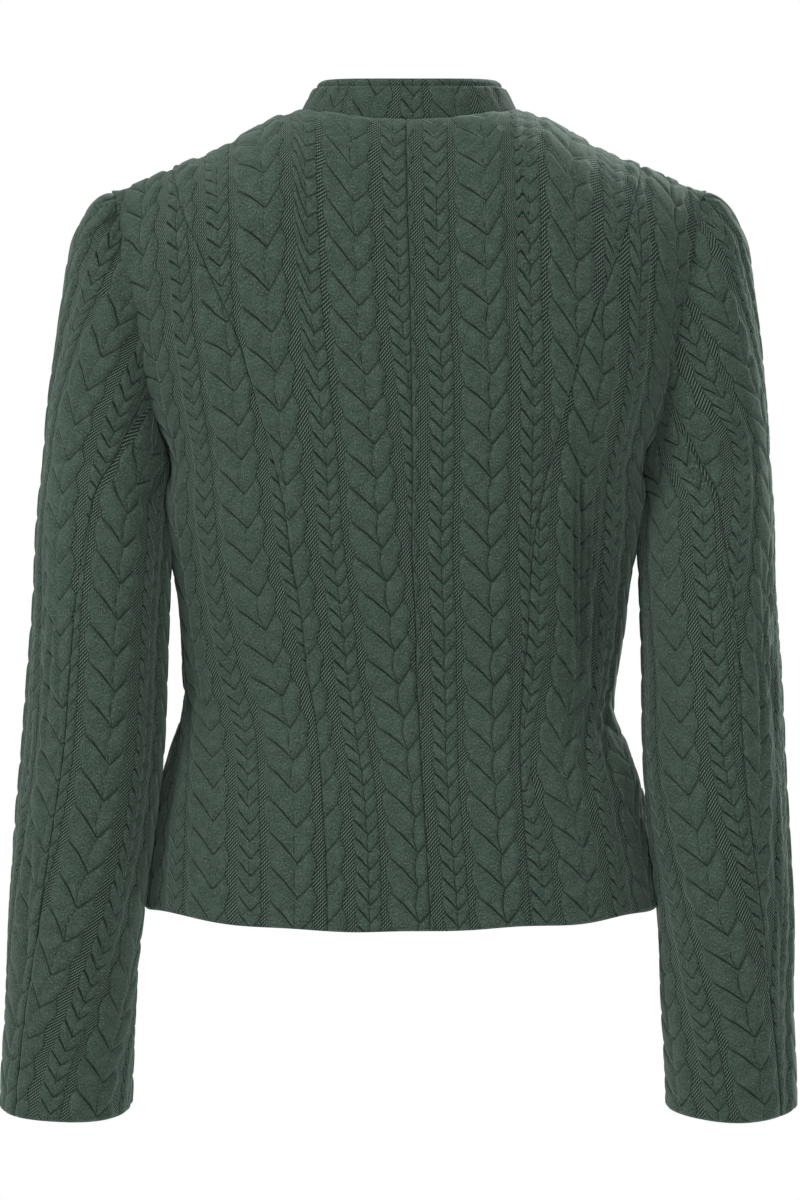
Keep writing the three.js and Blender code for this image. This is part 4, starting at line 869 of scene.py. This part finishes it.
def collar_piece(material):
    """The stand collar: from the neck seam straight up to a smaller oval, all round from one front
    edge to the other."""
    span = np.linspace(-1, 1, grid_size(2 * np.pi * NECK_HALF * 0.9, SPACING["collar"]))
    x_end = np.arcsin(COLLAR_END / NECK_HALF)
    angle = span * (np.pi - x_end)
    back = np.cos(angle) > 0
    x = NECK_HALF * np.sin(angle)
    along = np.abs(np.cos(angle))
    fall = along ** np.where(back, NECK_BACK_POWER, NECK_FRONT_POWER)
    foot = points(x, np.cos(angle) * np.where(back, NECK_BACK, NECK_FRONT),
                  mix(NECK_SIDE_Z, np.where(back, NECK_BACK_Z, NECK_FRONT_Z), fall))
    head = points(x * COLLAR_TOP_HALF / NECK_HALF,
                  np.cos(angle) * np.where(back, COLLAR_TOP_BACK, COLLAR_TOP_FRONT),
                  mix(COLLAR_SIDE_Z, np.where(back, COLLAR_BACK_Z, COLLAR_FRONT_Z), fall))
    ends = np.abs(span) > 0.999
    head[ends, 0] = foot[ends, 0]
    tall = np.linalg.norm(head - foot, axis=1)
    rise = np.linspace(0, 1, grid_size(tall.max(), SPACING["collar"]))[:, None]
    base = mix(foot[None], head[None], rise[..., None]) + np.array([0, 0, SEAM_GAP])
    step = np.linalg.norm(np.diff(foot, axis=0), axis=1)
    run = summed(step)
    run = run - run[len(run) // 2]
    distance = np.broadcast_to(run[None, :], base.shape[:2])
    up = rise * tall[None, :]
    edges = {"left": distance - run[0], "right": run[-1] - distance, "foot": up, "top": tall[None, :] - up,
             "neck": up, "hem": np.full_like(up, FAR)}
    u = COLLAR_ACROSS - distance
    v = up + COLLAR_UP
    marks = {"u": u, "v": v, **cable(u, v)}
    below = edges["top"] - COLLAR_STITCH
    stitch = np.exp(-(below / STITCH_WIDTH) ** 2)
    edges["stitch"] = np.abs(below) + 0.1
    marks["height"] = marks["height"] * COLLAR_RELIEF * smooth(-1, 3, below)
    base[..., 0] += lean["torso"](base[..., 2])
    cloth_piece("collar", base, 1, True, marks, edges, ["left", "right", "top"], STITCH_DEPTH * stitch,
                np.zeros_like(up), 0.0, material)


def feed(tree, socket, value):
    """Puts a number or a colour on a socket, or links another node's output to it."""
    if isinstance(value, (int, float)):
        socket.default_value = value
    elif isinstance(value, tuple):
        socket.default_value = (*value, 1.0)
    else:
        tree.links.new(value, socket)


def node(tree, kind, sockets=(), **settings):
    """A node with its settings and, in pairs, its sockets' names and what feeds them."""
    made = tree.nodes.new(kind)
    for key, value in settings.items():
        setattr(made, key, value)
    for key, value in sockets:
        feed(tree, made.inputs[key], value)
    return made


def maths(tree, what, *values, clamp=False):
    """A Math node on values or on other nodes' outputs."""
    return node(tree, "ShaderNodeMath", enumerate(values), operation=what, use_clamp=clamp).outputs[0]


def spread(tree, value, low, high, to_low=0.0, to_high=1.0):
    """A Map Range node from low..high to to_low..to_high, eased at both ends."""
    sockets = (("Value", value), ("From Min", low), ("From Max", high), ("To Min", to_low),
               ("To Max", to_high))
    return node(tree, "ShaderNodeMapRange", sockets, interpolation_type="SMOOTHSTEP").outputs["Result"]


def blend_colour(tree, share, a, b):
    """A Mix node of colours: a where share is 0 and b where it is 1. Its sockets share their names,
    so they go by number."""
    return node(tree, "ShaderNodeMix", ((0, share), (6, a), (7, b)), data_type="RGBA").outputs[2]


def noise(tree, where, scale, detail, rough):
    sockets = (("Scale", scale), ("Detail", detail), ("Roughness", rough), ("Vector", where))
    return node(tree, "ShaderNodeTexNoise", sockets).outputs["Fac"]


def new_material(name):
    """A new material, its nodes and its shader."""
    material = bpy.data.materials.new(name)
    material.use_nodes = True
    return material, material.node_tree, material.node_tree.nodes["Principled BSDF"]


DARK_GREEN = (0.0058, 0.0105, 0.0079)
MID_GREEN = (0.0167, 0.0285, 0.0208)
# Pale fibres of the heather, also the colour of the painted highlight on the rib crests
PALE_GREEN = (0.057, 0.082, 0.063)
WARM_FLECK = (0.078, 0.052, 0.040)
# The colour of all the painted shade: in the cable grooves, seams, fold troughs and rib furrows
PAINTED_SHADE_GREEN = (0.0010, 0.0024, 0.0016)


def cloth_material():
    """Heathered sweat cloth, with painted shade in the grooves, seams, folds and rib furrows and a painted
    highlight on the rib crests. Grooves, seams and the fine slanting ribs follow the piece's own cloth
    coordinates and marks."""
    material, tree, shader = new_material("heather_green_sweat_cloth")

    def times(a, b):
        return maths(tree, "MULTIPLY", a, b)

    def mark(name, out="Fac"):
        return node(tree, "ShaderNodeAttribute", attribute_name=name).outputs[out]

    def parts(value):
        return node(tree, "ShaderNodeSeparateXYZ", ((0, value),)).outputs

    uv = node(tree, "ShaderNodeUVMap", uv_map="cloth").outputs[0]
    flat = parts(uv)
    phase, inside, groove_shade_strength = parts(mark("cable", "Vector"))
    pitch, seam, middle, fold_shade = (mark(name) for name in ("pitch", "seam", "middle", "fold_shade"))

    # Masks of painted shade: a dark line along each groove between lobes, weaker on the right-hand grooves
    # and away from the valley, a dark rim at the braid's edge and a dark line down its valley
    lobe = spread(tree, inside, -0.35, 0.35)
    between = maths(tree, "SUBTRACT", 1.0, lobe)
    away = times(times(maths(tree, "PINGPONG", phase, 0.5), pitch), GROOVE_SLANT)
    line = times(spread(tree, away, 0.1, 0.85, 1.0, 0.0), lobe)
    groove = times(times(line, groove_shade_strength), spread(tree, middle, 4, 17, 1.0, 0.55))
    rim = spread(tree, maths(tree, "ABSOLUTE", inside), 0.0, 0.8, 0.45, 0.0)
    valley = times(spread(tree, middle, 0.1, 0.7, 0.7, 0.0), lobe)
    shaded_grooves = maths(tree, "MAXIMUM", maths(tree, "MAXIMUM", groove, rim), valley)
    # Painted shade in the groove of each seam
    seam_shade = spread(tree, seam, 0.2, 0.85, 1.0, 0.0)

    # Fine slanting ribs between the braids
    slant = maths(tree, "ADD", flat[0], times(flat[1], -0.92))
    wave = maths(tree, "SINE", times(slant, 2 * np.pi / RIB_PITCH))
    stitches = maths(tree, "SINE", times(flat[0], 2 * np.pi / STITCH_PITCH))
    wave = maths(tree, "MULTIPLY_ADD", stitches, 0.45, wave)
    ribs = times(maths(tree, "MULTIPLY_ADD", wave, 0.5, 0.5), between)

    # Heather: pale and dark fibres, with a few warm flecks
    stretch = node(tree, "ShaderNodeMapping")
    stretch.inputs["Scale"].default_value = (1.0, 0.62, 1.0)
    tree.links.new(uv, stretch.inputs["Vector"])
    fibres = noise(tree, stretch.outputs[0], 1250, 3, 0.75)
    clouds = noise(tree, uv, 110, 4, 0.65)
    flecks = noise(tree, stretch.outputs[0], 700, 2, 0.5)
    colour = blend_colour(tree, spread(tree, fibres, 0.36, 0.52), DARK_GREEN, MID_GREEN)
    colour = blend_colour(tree, spread(tree, fibres, 0.52, 0.68, 0.0, 0.9), colour, PALE_GREEN)
    colour = blend_colour(tree, spread(tree, flecks, 0.6, 0.72, 0.0, 0.35), colour, WARM_FLECK)
    colour = blend_colour(tree, spread(tree, clouds, 0.4, 0.65, 0.0, 0.16), colour, PALE_GREEN)
    # Painted shade in the furrows of the fine ribs and painted highlight on their crests
    rib_furrow_shade = times(between, spread(tree, wave, -0.9, 0.5, 1.0, 0.0))
    colour = blend_colour(tree, rib_furrow_shade, colour, PAINTED_SHADE_GREEN)
    rib_crest_highlight = times(between, spread(tree, wave, 0.2, 1.1, 0.0, 0.75))
    colour = blend_colour(tree, rib_crest_highlight, colour, PALE_GREEN)
    # Painted shade in the cable grooves, at the braid edges and valleys, in the seam grooves and in the fold
    # troughs
    colour = blend_colour(tree, maths(tree, "MULTIPLY", shaded_grooves, 1.0, clamp=True), colour, PAINTED_SHADE_GREEN)
    colour = blend_colour(tree, times(seam_shade, 0.62), colour, PAINTED_SHADE_GREEN)
    colour = blend_colour(tree, times(fold_shade, 0.45), colour, PAINTED_SHADE_GREEN)
    tree.links.new(colour, shader.inputs["Base Color"])

    nap = noise(tree, uv, 900, 4, 0.7)
    height = maths(tree, "MULTIPLY_ADD", ribs, 0.32, times(nap, 0.22))
    height = maths(tree, "SUBTRACT", height, shaded_grooves)
    bump = node(tree, "ShaderNodeBump", (("Strength", 0.85), ("Distance", 0.0009), ("Height", height)))
    tree.links.new(bump.outputs[0], shader.inputs["Normal"])
    shader.inputs["Roughness"].default_value = 0.92
    shader.inputs["Specular IOR Level"].default_value = 0.12
    shader.inputs["Sheen Weight"].default_value = 0.16
    shader.inputs["Sheen Roughness"].default_value = 0.45
    shader.inputs["Sheen Tint"].default_value = (0.55, 0.75, 0.65, 1.0)
    return material


def button_material():
    """Dark horn, a little mottled, with a satin polish."""
    material, tree, shader = new_material("dark_horn")
    where = tree.nodes.new("ShaderNodeTexCoord")
    grain = noise(tree, where.outputs["Object"], 220, 4, 0.6)
    colour = blend_colour(tree, spread(tree, grain, 0.35, 0.7), (0.006, 0.006, 0.005), (0.045, 0.034, 0.022))
    tree.links.new(colour, shader.inputs["Base Color"])
    tree.links.new(spread(tree, grain, 0.3, 0.7, 0.4, 0.58), shader.inputs["Roughness"])
    return material


def button(number, row, material):
    """A round button, dished in the middle inside a rounded rim: a profile of radius and height
    turned about the cloth's normal."""
    line = np.array([row])
    run = torso_run(line)
    at = -run[:, -1]
    spot = torso_at(at[:, None] + np.array([[-1, 0, 1.0]]), line, run)[0]
    high = torso_at(at[:, None], line + 0.1, torso_run(line + 0.1))[0, 0]
    across = spot[2] - spot[0]
    up = high - spot[1]
    normal = np.cross(up, across)
    normal = normal / np.linalg.norm(normal)
    across = across / np.linalg.norm(across)
    other = np.cross(normal, across)
    centre = spot[1] + normal * BUTTON_SEAT
    centre[0] += lean["torso"](centre[2])
    turns = np.linspace(0, 2 * np.pi, BUTTON_SIDES + 1)[:-1]
    ring = np.cos(turns)[:, None] * across + np.sin(turns)[:, None] * other
    rim = BUTTON_PROFILE["r"][1:-1]
    rise = BUTTON_PROFILE["h"][1:-1]
    body = centre + rim[:, None, None] * ring[None] + rise[:, None, None] * normal
    place = np.concatenate([body.reshape(-1, 3), [centre + BUTTON_PROFILE["h"][0] * normal], [centre]])
    grid = np.arange(len(rim) * len(turns)).reshape(len(rim), len(turns))
    after = np.roll(grid, -1, 1)
    quads = cells(grid[:-1], grid[1:], after[1:], after[:-1])
    top = np.stack([grid[0], after[0], np.full(len(turns), len(place) - 2)], -1)
    foot = np.stack([after[-1], grid[-1], np.full(len(turns), len(place) - 1)], -1)
    mesh = bpy.data.meshes.new(f"button_{number}")
    mesh.from_pydata((place * MM).tolist(), [], quads.tolist() + top.tolist() + foot.tolist())
    mesh.polygons.foreach_set("use_smooth", np.ones(len(mesh.polygons), bool))
    piece = placed(f"button_{number}_horn", mesh)
    mesh.materials.append(material)
    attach(piece, "root")
    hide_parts(f"button_{number}")


def area_light(name, place, aim, size, watts):
    data = bpy.data.lights.new(name, "AREA")
    data.size = size
    data.energy = watts
    lamp = placed(name, data)
    lamp.location = place
    way = np.array(aim, float) - np.array(place, float)
    lamp.rotation_euler = Vector(way).to_track_quat("-Z", "Y").to_euler()


def stage_and_light():
    """A pale floor below the jacket, a white surround and three soft lights: one high on the left of
    the view from behind, a weaker one on its right and one for the front."""
    bpy.ops.mesh.primitive_plane_add(size=4, location=(0, 0, -1.3))
    floor = bpy.context.object
    floor.name = "studio_floor"
    material, _, shader = new_material("pale_floor")
    shader.inputs["Base Color"].default_value = (0.86, 0.86, 0.86, 1.0)
    shader.inputs["Roughness"].default_value = 0.9
    floor.data.materials.append(material)
    world = bpy.context.scene.world or bpy.data.worlds.new("studio")
    bpy.context.scene.world = world
    world.use_nodes = True
    ground = world.node_tree.nodes["Background"]
    ground.inputs[0].default_value = (1, 1, 1, 1)
    ground.inputs[1].default_value = 1.0
    area_light("key", (1.9, 1.7, 1.7), (0, 0, -0.2), 0.8, 108)
    area_light("fill", (-0.8, 3.2, 0.9), (0, 0, -0.2), 1.6, 66)
    area_light("front_key", (-1.7, -2.1, 1.4), (0, 0, -0.3), 1.0, 110)


def camera():
    """The view from behind, as tall as VIEW_TALL at the origin's distance."""
    data = bpy.data.cameras.new("behind")
    data.sensor_fit = "VERTICAL"
    data.sensor_height = SENSOR
    data.lens = SENSOR * CAMERA_SPOT[1] / VIEW_TALL
    eye = placed("behind", data)
    eye.location = [value * MM for value in CAMERA_SPOT]
    eye.rotation_euler = (np.pi / 2, 0, np.pi)
    bpy.context.scene.camera = eye


bpy.context.scene.view_settings.view_transform = "Standard"
camera()
stage_and_light()
cloth = cloth_material()
horn = button_material()
for side, word in ((1, "left"), (-1, "right")):
    for kind in PANELS:
        torso_panel(kind, side, word, cloth)
    for part in ("top", "under"):
        sleeve_piece(part, side, word, cloth)
collar_piece(cloth)
for number, row in enumerate(BUTTON_ROWS, 1):
    button(number, row, horn)
